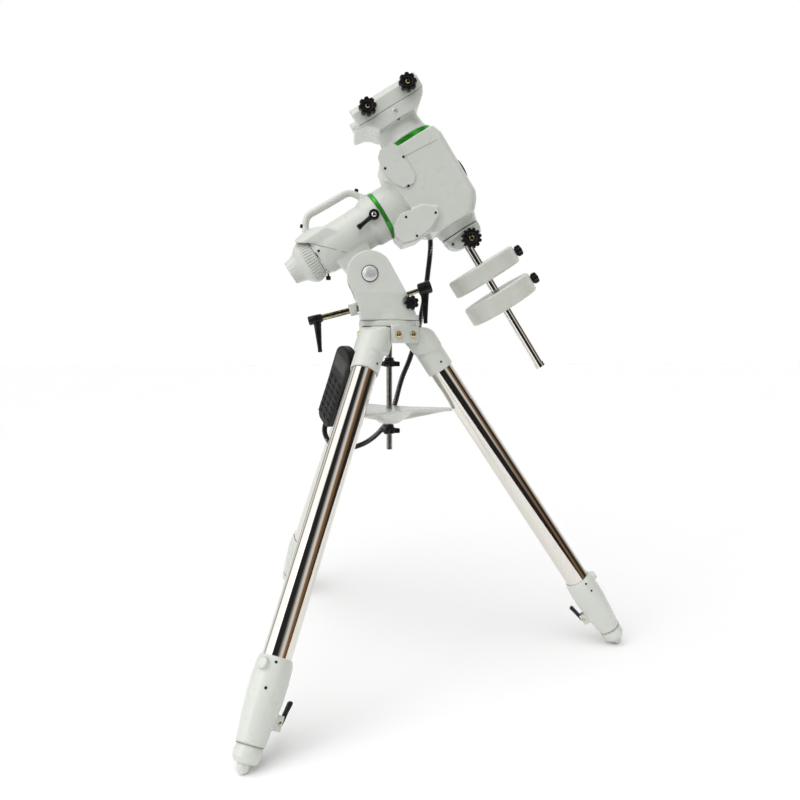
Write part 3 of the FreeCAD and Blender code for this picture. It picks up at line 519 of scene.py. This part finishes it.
def lead_line():
    """Evenly spaced points on the smooth curve through the lead's route."""
    data = bpy.data.curves.new("lead_route", "CURVE")
    data.dimensions = "3D"
    spline = data.splines.new("NURBS")
    spline.points.add(len(LEAD_ROUTE) - 1)
    for point, place in zip(spline.points, LEAD_ROUTE):
        point.co = (*place, 1)
    spline.order_u = 3
    spline.use_endpoint_u = True
    spline.resolution_u = 24
    holder = bpy.data.objects.new("lead_route", data)
    mesh = bpy.data.meshes.new_from_object(holder)
    raw = [v.co.copy() for v in mesh.vertices]
    bpy.data.objects.remove(holder)
    line, carried = [raw[0]], 0.0
    for here, there in zip(raw, raw[1:]):
        gap = (there - here).length
        while carried + LEAD_STEP <= gap:
            carried += LEAD_STEP
            line.append(here.lerp(there, carried / gap))
        carried -= gap
    return line


def wound(line):
    """The middle of the wire, wound round a line."""
    side = X.copy()
    centres = []
    for i, point in enumerate(line):
        ahead = heading(line, i)
        side = (side - ahead * side.dot(ahead)).normalized()
        turn = 2 * math.pi * i * LEAD_STEP / WIRE_PITCH
        offset = side * math.cos(turn) + ahead.cross(side) * math.sin(turn)
        centres.append(point + offset * (LEAD_RADIUS - WIRE_RADIUS))
    return centres


def make_lead(plug):
    """Curly lead: a wire wound round the route, in stretches."""
    line = lead_line()
    centres = wound(line)
    start = 0
    for number, (upto, first, second, bend_from, bend_to) in enumerate(LEAD_STRETCHES, start=1):
        stop = min(len(line) - 1, round(upto / LEAD_STEP))
        sections = []
        lean = X.copy()
        for i in range(start, stop + 1):
            ahead, inward = heading(centres, i), line[i] - centres[i]
            lean = inward if inward.length > WIRE_RADIUS * 0.6 else lean
            lean = (lean - ahead * lean.dot(ahead)).normalized()
            up = ahead.cross(lean)
            sections.append(section(centres[i], lean, up, WIRE_RADIUS, WIRE_SIDES))
        verts, faces = rings(sections)
        thing = new_piece(f"lead_{number}", verts, faces, UPRIGHT, None, LEAD_BLACK)
        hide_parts("controller_lead")
        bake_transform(thing)
        start = stop


# ---------------------------------------------------------------- hand knobs and levers
def star_knob(name, node, radius, length, matrix, lobes=8, insert=BRASS):
    """A moulded knob: deep finger grooves, a dished face and a metal bush in its middle."""
    # each level's height, its radius and its grooves' depth, as shares of the knob's own
    levels = [
        (0.00, 0.60, 0.00),
        (0.10, 0.63, 0.05),
        (0.20, 0.80, 0.10),
        (0.30, 0.96, 0.19),
        (0.38, 1.00, 0.20),
        (0.78, 1.00, 0.20),
        (0.90, 0.97, 0.20),
        (0.97, 0.90, 0.18),
        (1.00, 0.80, 0.12),
        (1.01, 0.62, 0.02),
        (0.99, 0.52, 0.00),
        (0.93, 0.46, 0.00),
        (0.88, 0.42, 0.00),
        (0.87, 0.24, 0.00),
        (0.87, 0.01, 0.00),
    ]
    sections = []
    for height, share, depth in levels:
        ring = []
        for a in angles(lobes * 14):
            r = radius * share * (1 - depth * abs(math.cos(lobes * a / 2)) ** 5)
            ring.append(mm(r * math.cos(a), r * math.sin(a), height * length))
        sections.append(ring)
    verts, faces = rings(sections)
    knob = new_piece(name, verts, faces, matrix, node, BLACK)
    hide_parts(node)
    bush = [(0.24, 0.80), (0.24, 0.955), (0.20, 0.985), (0.13, 0.985)]
    bush += [(0.11, 0.94), (0.11, 0.86), (0.01, 0.86)]
    profile = [(radius * r, length * h) for r, h in bush]
    lathe(f"{name}_bush", profile, matrix, node, insert, 24)


def stud(name, radius, depth, matrix, body, look):
    """The plain screw behind a knob."""
    profile = [(radius, -depth), (radius, 1)]
    lathe(name, profile, matrix, body, look, 24)


def make_knobs():
    for name, x, z in (("south", -42.2, 183.0), ("north", 48.6, 182.0)):
        matrix = facing((x, -60.5, z), (0, -1, 0), HEAD)
        node = f"saddle_knob_{name}"
        star_knob(f"{node}_grip", node, 18, 20, matrix)
        stud(f"{node}_screw", 4, 17, matrix, node, STEEL)
    for name, side in (("near", -1), ("far", 1)):
        matrix = facing((40.8, 62.6 * side, 745), (0, side, 0))
        node = f"azimuth_knob_{name}"
        star_knob(f"{node}_grip", node, 14.7, 15, matrix, 7, DARK_METAL)
        stud(f"{node}_screw", 4, 50, matrix, node, STEEL)
    matrix = facing((4, -41, -136), (0, -1, 0), HEAD)
    star_knob("shaft_lock_grip", "shaft_lock_knob", 21, 16, matrix, 12)
    stud("shaft_lock_screw", 4, 29, matrix, "shaft_lock_knob", STEEL)
    for name, middle in (("upper", -208.5), ("lower", -275)):
        matrix = facing((76.6, 0, middle), X, HEAD)
        node = f"weight_knob_{name}"
        star_knob(f"{node}_grip", node, 12, 14.5, matrix, 5, DARK_METAL)
        stud(f"{node}_screw", 3.5, 60, matrix, node, BRASS)


def make_clutch_levers():
    """Two paddle levers, each under a domed screw."""
    hub = facing((-139, -51, 5), (0, -1, 0), HEAD)
    route = [(-144, 4.4), (-152, 3.3), (-162, 1.9), (-170, 0.8), (-175, 0.1)]
    route += [(-179, -0.5), (-180.5, -0.7)]
    lever_set("ra_clutch", "ra_clutch_lever", hub, [(x, -56.8, z) for x, z in route])
    hub = facing((-14, 62.4, 80), Y, HEAD)
    route = [(-9, 79), (0, 77.6), (10, 76), (18, 74.9), (23, 74.2), (27, 73.6), (28.4, 73.4)]
    lever_set("dec_clutch", "dec_clutch_lever", hub, [(x, 68, z) for x, z in route])


def lever_set(name, body, hub, points):
    profile = [(9.2, 0), (10.4, 0.8), (10.6, 2), (10.6, 8.6), (10.0, 10.0), (8.6, 10.8)]
    profile += [(6.2, 10.9), (6.0, 10.2), (0.01, 10.2)]
    piece = lathe(f"{name}_hub", profile, hub, body, BLACK, 48)
    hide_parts(body)
    radii = [5.4, 4.7, 4.1, 4.4, 5.6, 6.0, 3.4]
    tube_along(f"{name}_arm", points, radii, HEAD, body, BLACK, 24)
    screw(f"{name}_screw", 5.2, hub @ facing((0, 0, 10.2), Z), body, CHROME, dome=0.5)


def ribbed_hub(name, profile, matrix, body, ribs):
    """A collar with shallow grooves between its ribs, wherever it is wider than its neck."""
    neck, groove = 9, 0.07
    sections = []
    for r, h in profile:
        depth = groove if r > neck else 0
        ring = []
        for a in angles(ribs * 8):
            out = r * (1 - depth * (0.5 + 0.5 * math.cos(ribs * a)) ** 2)
            ring.append(mm(out * math.cos(a), out * math.sin(a), h))
        sections.append(ring)
    verts, faces = rings(sections)
    return new_piece(name, verts, faces, matrix, body, BLACK)


def lever_bar(name, body, start, down, radii, reach):
    """A straight tapering bar with a flared tip."""
    shares = [0.0, 0.10, 0.25, 0.50, 0.75, 0.90, 0.97, 1.0]
    points = [Vector(start) + Vector(down).normalized() * reach * share for share in shares]
    tube_along(name, points, radii, UPRIGHT, body, BLACK, 28)


def make_handles():
    """The two altitude bolts' levers and the carry handle."""
    at, node = (-149.8, 0, 713.8), "rear_bolt_handle"
    profile = [(6.5, -18.2), (8.6, -18), (9.3, -17), (9.3, 4), (8.8, 5), (8.8, 9), (8.0, 10)]
    profile += [(7.4, 11.6), (6.7, 11.7)]
    matrix = facing(at, (0.9684, 0, 0.2495))
    hub = lathe("rear_handle_hub", profile, matrix, node, BLACK, 40)
    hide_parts(node)
    radii = [9.0, 8.4, 7.4, 6.2, 5.0, 4.3, 4.9, 3.6]
    lever_bar("rear_handle_bar", node, at, (0.085, 0, -0.9964), radii, 69)

    at, node = (74.0, 0, 777.6), "front_bolt_handle"
    profile = [(7.5, -14), (12.2, -13.6), (13.4, -12), (13.4, 10), (12.6, 12.2), (10, 13.6)]
    profile += [(7, 14)]
    hub = ribbed_hub("front_handle_hub", profile, facing(at, (-0.9461, 0, -0.3240)), node, 10)
    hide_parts(node)
    radii = [9.0, 9.4, 8.2, 6.6, 5.2, 4.3, 4.6, 3.2]
    lever_bar("front_handle_bar", node, at, (0.03, 0, -0.9995), radii, 73)

    # the carry handle's place along the polar axis, its height over it and its radius there
    route = [
        (-271, 55, 8.2),
        (-268.6, 59, 7.0),
        (-264, 66, 6.7),
        (-259, 72.4, 6.7),
        (-254, 76.9, 6.9),
        (-248.6, 79.3, 7.2),
        (-242, 80.1, 7.4),
        (-228, 79.6, 7.6),
        (-204, 78.4, 7.7),
        (-180, 77.7, 7.6),
        (-166, 77.2, 7.4),
        (-159.5, 76.4, 7.2),
        (-154, 74.4, 7.0),
        (-148.6, 70.4, 6.8),
        (-144, 64.6, 6.8),
        (-140.4, 58.6, 7.0),
        (-138, 54, 8.0),
    ]
    points, radii = [(x, 0, z) for x, z, _ in route], [radius for _, _, radius in route]
    bar = tube_along("carry_bar", points, radii, HEAD, "polar_housing", WHITE, 32)
    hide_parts("carry_handle")


def make_wing_knobs():
    """The two winged nuts on the centre rod."""
    profile = [(6.6, 0), (10.6, 0.2), (11.4, 1.2), (11.4, 12.4), (10.8, 13.2), (9.6, 14)]
    profile += [(9.4, 18), (8.6, 19), (6.6, 19)]
    wing = [(8, 0.6), (20.5, 0.6), (21.8, 2), (21.8, 9.4), (20.4, 10.8), (15, 10.8), (8, 12.4)]
    for name, low in (("rod_knob", 614.6), ("tray_knob", 473.6)):
        place = facing((0, 0, low), Z)
        hub = lathe(f"{name}_hub", profile, place, name, BLACK, 40)
        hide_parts(name)
        for number in range(3):
            around = Matrix.Rotation(math.radians(120 * number + 10), 4, "Z")
            turn = Matrix.Translation(mm(0, 0, low)) @ around
            piece = f"{name}_wing_{number}"
            slab(piece, wing, -5.2, 5.2, turn, name, BLACK, 1.6)


def make_clamps():
    """Each leg's cam lever with its brass screws, and the small screws of the castings."""
    outline = [(34, 734), (37, 735.4), (43, 734), (46, 730.5), (48.4, 721), (50.6, 708)]
    outline += [(53.8, 696), (54, 692.5), (51, 690.4), (46.8, 693), (44.4, 708), (42, 720)]
    outline += [(35.5, 723)]
    pin = [(3, -2), (3, 4.0), (2.4, 4.4), (0.01, 4.4)]
    # each screw's angle round the leg, its distance down it and its distance from the axis
    spots = [(104, 34, 28.6), (-104, 34, 28.6), (104, 68, 28.6), (-104, 68, 28.6)]
    spots += [(145, 642, 30.2), (152, 683, 32.0), (256, 642, 30.2), (253, 661, 31.9)]
    for side, leg in LEGS.items():
        body = f"clamp_lever_{side}"
        swung = leg @ Matrix.Rotation(math.radians(27), 4, "Z")
        arm = slab(f"{body}_arm", outline, -4, 4, swung, body, BLACK, 1.4)
        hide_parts(body)
        for end in (-1, 1):
            at = facing((39, 4.0 * end, 728), (0, end, 0), swung)
            lathe(f"{body}_pin_{end + 1}", pin, at, body, BRASS, 24)
        for number, (angle, down, away) in enumerate(spots):
            outward = Vector((math.cos(math.radians(angle)), math.sin(math.radians(angle)), 0))
            at = facing((away * outward.x, away * outward.y, down), outward, leg)
            screw(f"leg_{side}_screw_{number}", 2.4, at, f"leg_{side}", DARK_METAL)


# ---------------------------------------------------------------- head details
def make_polar_knob():
    """The polar scope's ribbed collar, its bright ring and its eyepiece."""
    matrix = facing((-278.6, 0, 0), (-1, 0, 0), HEAD)
    # each level's radius, its height and its surface: smooth, fine ribs or the eyepiece's ribs
    levels = [
        (37.0, 0.0, 0),
        (38.0, 0.2, 0),
        (40.4, 2.6, 0),
        (41.8, 5.0, 1),
        (44.0, 12.0, 1),
        (45.0, 20.0, 1),
        (44.4, 23.5, 1),
        (43.2, 26.0, 0),
        (41.2, 29.4, 0),
        (38.2, 33.8, 0),
        (34.6, 37.0, 0),
        (31.4, 39.8, 0),
        (29.2, 43.0, 0),
        (28.0, 46.6, 0),
        (26.8, 50.0, 2),
        (25.2, 57.0, 2),
        (24.4, 61.5, 2),
        (23.6, 63.6, 0),
        (22.3, 64.4, 0),
        (19.6, 64.4, 0),
        (18.6, 63.2, 0),
        (18.0, 58.0, 0),
        (0.01, 56.0, 0),
    ]
    sections = []
    for r, h, kind in levels:
        ring = []
        for a in angles(384):
            fine, coarse = max(0.0, math.cos(48 * a)), max(0.0, math.cos(16 * a))
            out = r - (0.0, 2.2 * fine, 0.9 * coarse**2)[kind]
            ring.append(mm(out * math.cos(a), out * math.sin(a), h))
        sections.append(ring)
    verts, faces = rings(sections)
    collar = new_piece("polar_collar", verts, faces, matrix, "polar_knob", WHITE)
    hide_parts("polar_knob")
    lens = [(17.6, 56.2), (17.4, 58.6), (12, 59.4), (0.01, 59.8)]
    lathe("polar_lens", lens, matrix, "polar_knob", DARK_METAL)
    at, body = facing((-277.2, 0, 0), (-1, 0, 0), HEAD), "polar_housing"
    ring = [(38.4, -1.4), (41.2, -1.2), (41.6, -0.4), (41.2, 0.6), (38.4, 0.8)]
    lathe("polar_bright_ring", ring, at, body, CHROME, 96)
    at = facing((-276, 0, -39), (-0.53, 0, -0.848), HEAD)
    stem = [(2.0, -5), (2.0, 9.5)]
    lathe("thumb_screw_stem", stem, at, body, DARK_METAL, 20)
    grip = [(2.2, 6.4), (4.4, 6.8), (5.0, 8), (5.0, 13.6), (4.2, 15.0), (1.5, 15.4), (0.01, 15.4)]
    lathe("thumb_screw", grip, at, body, BLACK, 24)


def make_small_screws():
    """Cover screws on the head, the handle's screws and the saddle's."""
    towards_viewer = (0, -1, 0)
    spots = [(-74, -65.2, 68), (-31.5, -65.2, 68), (-52.7, -65.2, 15.8)]
    spots += [(-89.5, -72.1, -33.6), (-35.1, -72.1, -57), (-90.4, -72.1, -75.8)]
    for number, spot in enumerate(spots):
        at = facing(spot, towards_viewer, HEAD)
        screw(f"cover_screw_{number}", 2.5, at, "dec_head", DARK_METAL)
    at = facing((1.5, -60.1, 152), towards_viewer, HEAD)
    screw("saddle_screw", 5.6, at, "dec_axis", SATIN, cross=True)
    at = facing((0.3, -56.5, 136), (0, -0.5, -1), HEAD)
    profile = [(2.9, -3), (2.9, 0.7), (2.2, 0.9), (1.6, -0.8), (0.01, -0.8)]
    lathe("saddle_set_screw", profile, at, "dec_axis", DARK_METAL, 24)
    at = facing((-270, -43.4, 4), towards_viewer, HEAD)
    screw("hood_screw", 2.6, at, "polar_housing", DARK_METAL)
    at = facing((-31, -30, -126), (-0.55, -0.83, 0), HEAD)
    screw("bracket_screw", 2.6, at, "dec_axis", DARK_METAL)
    cap = [(3.9, -1.5), (4.1, 0.0), (4.1, 3.2), (3.4, 4.0), (2.2, 4.0), (2.0, 2.4), (0.01, 2.4)]
    front = facing((-138.6, 0, 70.6), (0.75, 0, 0.66), HEAD)
    rear = facing((-271.0, 0, 68.3), (-0.79, 0, 0.62), HEAD)
    for name, at in (("front", front), ("rear", rear)):
        piece = f"handle_screw_{name}"
        lathe(piece, cap, at, "polar_housing", BLACK, 24)


def make_lug_bolts():
    """Button-headed bolts with a deep socket, two on the face of each lug."""
    head = [(7.2, -0.5), (7.2, 1.4), (6.7, 2.8), (5.4, 4.0), (3.6, 4.4), (3.2, 4.2), (3.2, 0.6)]
    head += [(0.01, 0.6)]
    for azimuth in (-60, 60, 180):
        turn = Matrix.Rotation(math.radians(azimuth), 4, "Z")
        for number, side in enumerate((-18, 18)):
            at = facing((62, side, 682), X, turn)
            name = f"lug_bolt_{azimuth + 60}_{number}"
            lathe(name, head, at, "tripod_head", BRASS, 32)


def arc(radius, first=0, last=76):
    """Points of a circle, one for each twelfth of a radian."""
    return [(radius * math.cos(a / 12), radius * math.sin(a / 12)) for a in range(first, last + 1)]


def make_seams():
    """Painted shade along the joints between castings, and the dark rims of the front cap and the
    pivot.
    """
    for side, leg in LEGS.items():
        seam(f"cuff_seam_{side}", [(x, y, 768.6) for x, y in arc(23.3)], leg, f"leg_{side}", 0.35)
    head = [(-31, -62.05, 68), (10, -62.05, 65), (42, -62.05, 62), (56, -52, 60.8), (61.6, -40, 60)]
    seam("head_seam", head, HEAD, "dec_head")
    seam("foot_seam", [(x, -y, -111) for x, y in arc(41.4, first=-76)], HEAD, "dec_head", 0.5)
    hood = [(-299.6, -32.5, 44.4), (-287.5, -38.4, 34.7), (-278, -42.9, 26.2)]
    hood += [(-269.4, -43.3, 18.3), (-255, -45.1, 3.7), (-242.1, -45.2, -9.4)]
    hood += [(-227.8, -39.1, -24), (-216.3, -28.1, -35.7)]
    seam("hood_seam", hood, HEAD, "polar_housing", 0.4)
    rim = [(65.0, y, -5 + z) for y, z in arc(25.0)]
    seam("front_cap_rim", rim, HEAD, "dec_head", 0.7, BLACK)
    for name, y in (("near", -72.3), ("far", 72.3)):
        rim = [(-41.6 + x, y, 802 + z) for x, z in arc(15.9)]
        piece = f"pivot_collar_{name}"
        seam(piece, rim, UPRIGHT, "azimuth_base", 0.9, BLACK)


# ---------------------------------------------------------------- controller
def oblong(x, low, high):
    """A rectangle about the controller's middle line, for a slab."""
    return [(-x, low), (x, low), (x, high), (-x, high)]


def make_handset():
    """The controller: domed top, recessed screen, rubber keys, in its bracket on the far leg."""
    leg, body = LEGS["far"], "leg_far"
    turns = [math.radians(a) for a in range(0, 181, 12)]
    dome = [(35 * math.cos(a) * 0.98, 60 - 26 * math.sin(a)) for a in turns]
    outline = dome + [(-33.5, 100), (-31.5, 150), (-31.5, 205), (-30, 222), (-24, 232), (-14, 236)]
    outline += [(14, 236), (24, 232), (30, 222), (31.5, 205), (31.5, 150), (33.5, 100)]
    slot = "handset_plastic"
    case = slab("handset_case", outline, 36.2, 59.4, leg, body, HANDSET_BLACK, 5.0)
    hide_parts("handset")
    screen = Nodes("screen_glass")
    glints = [(NOISE_LOW, (0.012, 0.016, 0.012)), (NOISE_HIGH, (0.018, 0.024, 0.016))]
    screen.colour(screen.ramp(screen.noise(50, 2), glints))
    screen.fixed(Roughness=0.12)
    pane = oblong(24, 58, 88)
    slab("handset_screen", pane, 59.0, 59.9, leg, body, screen.material, 0.5)
    bezel = [(-27, 54), (27, 54), (28, 92), (-28, 92)]
    slab("handset_bezel", bezel, 58.6, 59.6, leg, body, BLACK, 0.5)
    bracket = oblong(27, 74, 196)
    slab("handset_bracket", bracket, 30.6, 36.6, leg, body, BLACK, 2.0)
    for side in (-1, 1):
        rail = [(29.5 * side, 110), (36 * side, 112), (36 * side, 176), (29.5 * side, 178)]
        slab(f"handset_grip_{side + 1}", rail, 40, 53, leg, body, BLACK, 1.5)
    body, slot = "handset_keys", "black_rubber"
    sheet = oblong(28, 110.5, 221.5)
    pad = slab("handset_keypad", sheet, 59.15, 59.9, leg, body, RUBBER, 0.3)
    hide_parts("handset_keys")
    for row, z in enumerate(range(118, 216, 16)):
        for column, x in enumerate((-20, 0, 20)):
            key = [(x - 5, z - 3.2), (x + 5, z - 3.2), (x + 5, z + 3.2), (x - 5, z + 3.2)]
            name = f"handset_key_{row}_{column}"
            slab(name, key, 59.6, 62.3, leg, body, RUBBER, 0.8)


def make_plug():
    """The lead's plug in the head's far side, with its ribbed strain relief."""
    matrix = facing((87.2, 65.4, 928.7), Y)
    profile = [(5.2, -2.8), (5.2, 0), (6.5, 0.2), (6.7, 1.2), (6.7, 8.6), (6.2, 9.6)]
    for rib in range(3):
        start, crest = 9.8 + rib * 2.6, 5.9 - 0.2 * rib
        profile += [(5.0, start), (crest, start + 0.4), (crest, start + 1.7), (5.0, start + 2.1)]
    profile += [(4.6, 17.6), (0.01, 17.6)]
    plug = lathe("lead_plug_body", profile, matrix, "dec_head", BLACK, 40)
    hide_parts("lead_plug")
    return plug


# ---------------------------------------------------------------- castings
def make_castings():
    # each casting's voxel size in millimetres, and how many times it is smoothed
    for node, voxel, passes in (
        ("dec_housing", 1.5, 10),
        ("ra_housing", 1.5, 12),
        ("azimuth_fork", 1.5, 14),
        ("saddle", 1.3, 10),
        ("saddle_jaw", 1.2, 6),
        ("counterweight_bracket", 1.2, 10),
        ("tripod_head", 1.3, 4),
        ("accessory_tray", 1.3, 8),
        ("leg_castings_north", 1.5, 14),
        ("leg_castings_near", 1.5, 14),
        ("leg_castings_far", 1.5, 14),
    ):
        cast(node, voxel, passes, WHITE)
    soften(frame["nodes"]["weight_upper"], 1.2)
    soften(frame["nodes"]["weight_lower"], 1.2)


# ---------------------------------------------------------------- floor and light
FLOOR_REACH, FLOOR_FRONT, FLOOR_LEVEL = 14, -1.3, -0.0005


def make_floor():
    """A pale floor that ends between the camera and the mount, below the picture's edge."""
    mesh = bpy.data.meshes.new("floor")
    corners = [
        (-FLOOR_REACH, FLOOR_FRONT, FLOOR_LEVEL),
        (FLOOR_REACH, FLOOR_FRONT, FLOOR_LEVEL),
        (FLOOR_REACH, FLOOR_REACH, FLOOR_LEVEL),
        (-FLOOR_REACH, FLOOR_REACH, FLOOR_LEVEL),
    ]
    mesh.from_pydata(corners, [], [(0, 1, 2, 3)])
    floor = bpy.data.objects.new("floor", mesh)
    bpy.context.scene.collection.objects.link(floor)
    n = Nodes("pale_floor")
    shades = [(NOISE_LOW, (0.945, 0.945, 0.945)), (NOISE_HIGH, (0.955, 0.955, 0.955))]
    n.colour(n.ramp(n.noise(3, 2), shades))
    n.fixed(Roughness=0.85)
    dress(floor, n.material)


def hang_light(data, direction):
    """Puts a light in the scene, shining along a direction."""
    light = bpy.data.objects.new(data.name, data)
    light.rotation_mode = "QUATERNION"
    light.rotation_quaternion = direction.to_track_quat("-Z", "Y")
    bpy.context.scene.collection.objects.link(light)
    return light


# how strong the studio's white is to the camera and to rough surfaces, and its cards to metal
SEEN_WHITE, SOFT_WHITE, CARD_STRENGTH = 1.0, 0.5, 0.9
# the upward parts of a direction between which the low cards give way to the high ones
CARD_SEAM = (0.08, 0.20)
# direction round the studio as a share of a full turn from -X, and the card's colour there
HIGH_CARDS = [
    (0.000, (1.50, 1.50, 1.50)),
    (0.115, (1.50, 1.50, 1.50)),
    (0.150, (0.02, 0.02, 0.02)),
    (0.275, (0.03, 0.03, 0.03)),
    (0.310, (0.30, 0.30, 0.30)),
    (0.340, (0.80, 0.80, 0.78)),
    (0.372, (0.85, 0.82, 0.76)),
    (0.395, (0.30, 0.17, 0.08)),
    (0.435, (0.18, 0.10, 0.05)),
    (0.460, (0.02, 0.02, 0.02)),
    (0.505, (0.02, 0.02, 0.02)),
    (0.545, (0.50, 0.48, 0.42)),
    (0.620, (1.10, 1.10, 1.10)),
    (0.800, (1.10, 1.10, 1.10)),
    (0.830, (0.10, 0.09, 0.08)),
    (0.880, (0.90, 0.90, 0.88)),
    (0.915, (0.90, 0.90, 0.88)),
    (0.940, (0.15, 0.14, 0.12)),
    (0.965, (1.50, 1.50, 1.50)),
]
LOW_CARDS = [
    (0.000, (0.95, 0.95, 0.92)),
    (0.075, (0.95, 0.95, 0.92)),
    (0.105, (0.02, 0.02, 0.02)),
    (0.375, (0.02, 0.02, 0.02)),
    (0.405, (0.30, 0.17, 0.08)),
    (0.440, (0.15, 0.08, 0.04)),
    (0.470, (0.02, 0.02, 0.02)),
    (0.520, (0.03, 0.03, 0.03)),
    (0.560, (0.45, 0.44, 0.40)),
    (0.620, (1.05, 1.05, 1.05)),
    (0.800, (1.00, 1.00, 1.00)),
    (0.840, (0.12, 0.11, 0.10)),
    (0.880, (0.90, 0.90, 0.88)),
]


def make_world():
    """A white studio all round; glossy rays see dark and warm cards between white ones."""
    world = bpy.data.worlds.new("studio")
    bpy.context.scene.world = world
    world.use_nodes = True
    tree = world.node_tree
    tree.nodes.clear()
    place = tree.nodes.new("ShaderNodeTexCoord").outputs["Generated"]
    split = tree.nodes.new("ShaderNodeSeparateXYZ")
    tree.links.new(place, split.inputs["Vector"])
    around = tree.nodes.new("ShaderNodeMath")
    around.operation = "ARCTAN2"
    tree.links.new(split.outputs["Y"], around.inputs[0])
    tree.links.new(split.outputs["X"], around.inputs[1])
    turn = spread(tree, around.outputs["Value"], -math.pi, math.pi)
    level = spread(tree, split.outputs["Z"], *CARD_SEAM)
    high = cards(tree, turn, HIGH_CARDS)
    low = cards(tree, turn, LOW_CARDS)
    rays = tree.nodes.new("ShaderNodeLightPath")
    mirrored = mixed(tree, level, low, high)
    soft = background(tree, SOFT_WHITE).outputs["Background"]
    seen = background(tree, SEEN_WHITE).outputs["Background"]
    inner = mixed(tree, rays.outputs["Is Glossy Ray"], soft, mirrored)
    outer = mixed(tree, rays.outputs["Is Camera Ray"], inner, seen)
    output = tree.nodes.new("ShaderNodeOutputWorld")
    tree.links.new(outer, output.inputs["Surface"])


def spread(tree, value, low, high):
    """A value's place between two limits, from 0 to 1."""
    node = tree.nodes.new("ShaderNodeMapRange")
    node.inputs["From Min"].default_value = low
    node.inputs["From Max"].default_value = high
    tree.links.new(value, node.inputs["Value"])
    return node.outputs["Result"]


def cards(tree, turn, stops):
    """A band of the studio: its colours by the direction round it."""
    ramp = tree.nodes.new("ShaderNodeValToRGB")
    set_stops(ramp, stops)
    tree.links.new(turn, ramp.inputs["Fac"])
    shade = background(tree, CARD_STRENGTH)
    tree.links.new(ramp.outputs["Color"], shade.inputs["Color"])
    return shade.outputs["Background"]


def background(tree, strength):
    node = tree.nodes.new("ShaderNodeBackground")
    node.inputs["Color"].default_value = (1, 1, 1, 1)
    node.inputs["Strength"].default_value = strength
    return node


def mixed(tree, factor, first, second):
    node = tree.nodes.new("ShaderNodeMixShader")
    tree.links.new(factor, node.inputs["Fac"])
    tree.links.new(first, node.inputs[1])
    tree.links.new(second, node.inputs[2])
    return node.outputs["Shader"]


def make_light():
    """The studio, a wide soft light from above, in front and to the left, and a box at the left."""
    make_world()
    data = bpy.data.lights.new("overhead", "SUN")
    data.energy = 2.1
    data.angle = math.radians(70)
    sun = hang_light(data, Vector((0.32, 0.40, -0.86)))
    sun.visible_glossy = False
    data = bpy.data.lights.new("left_box", "AREA")
    data.shape = "RECTANGLE"
    data.size = 0.7
    data.size_y = 1.8
    data.energy = 5
    place, target = Vector((-1.9, -1.6, 1.5)), Vector((0.0, 0.0, 0.85))
    box = hang_light(data, target - place)
    box.location = place


# ---------------------------------------------------------------- put it together
bpy.context.scene.view_settings.view_transform = "Standard"
make_camera()
make_lead(make_plug())
dress_nodes()
make_castings()
make_knobs()
make_clutch_levers()
make_handles()
make_wing_knobs()
make_clamps()
make_polar_knob()
make_small_screws()
make_lug_bolts()
make_seams()
make_handset()
make_floor()
make_light()
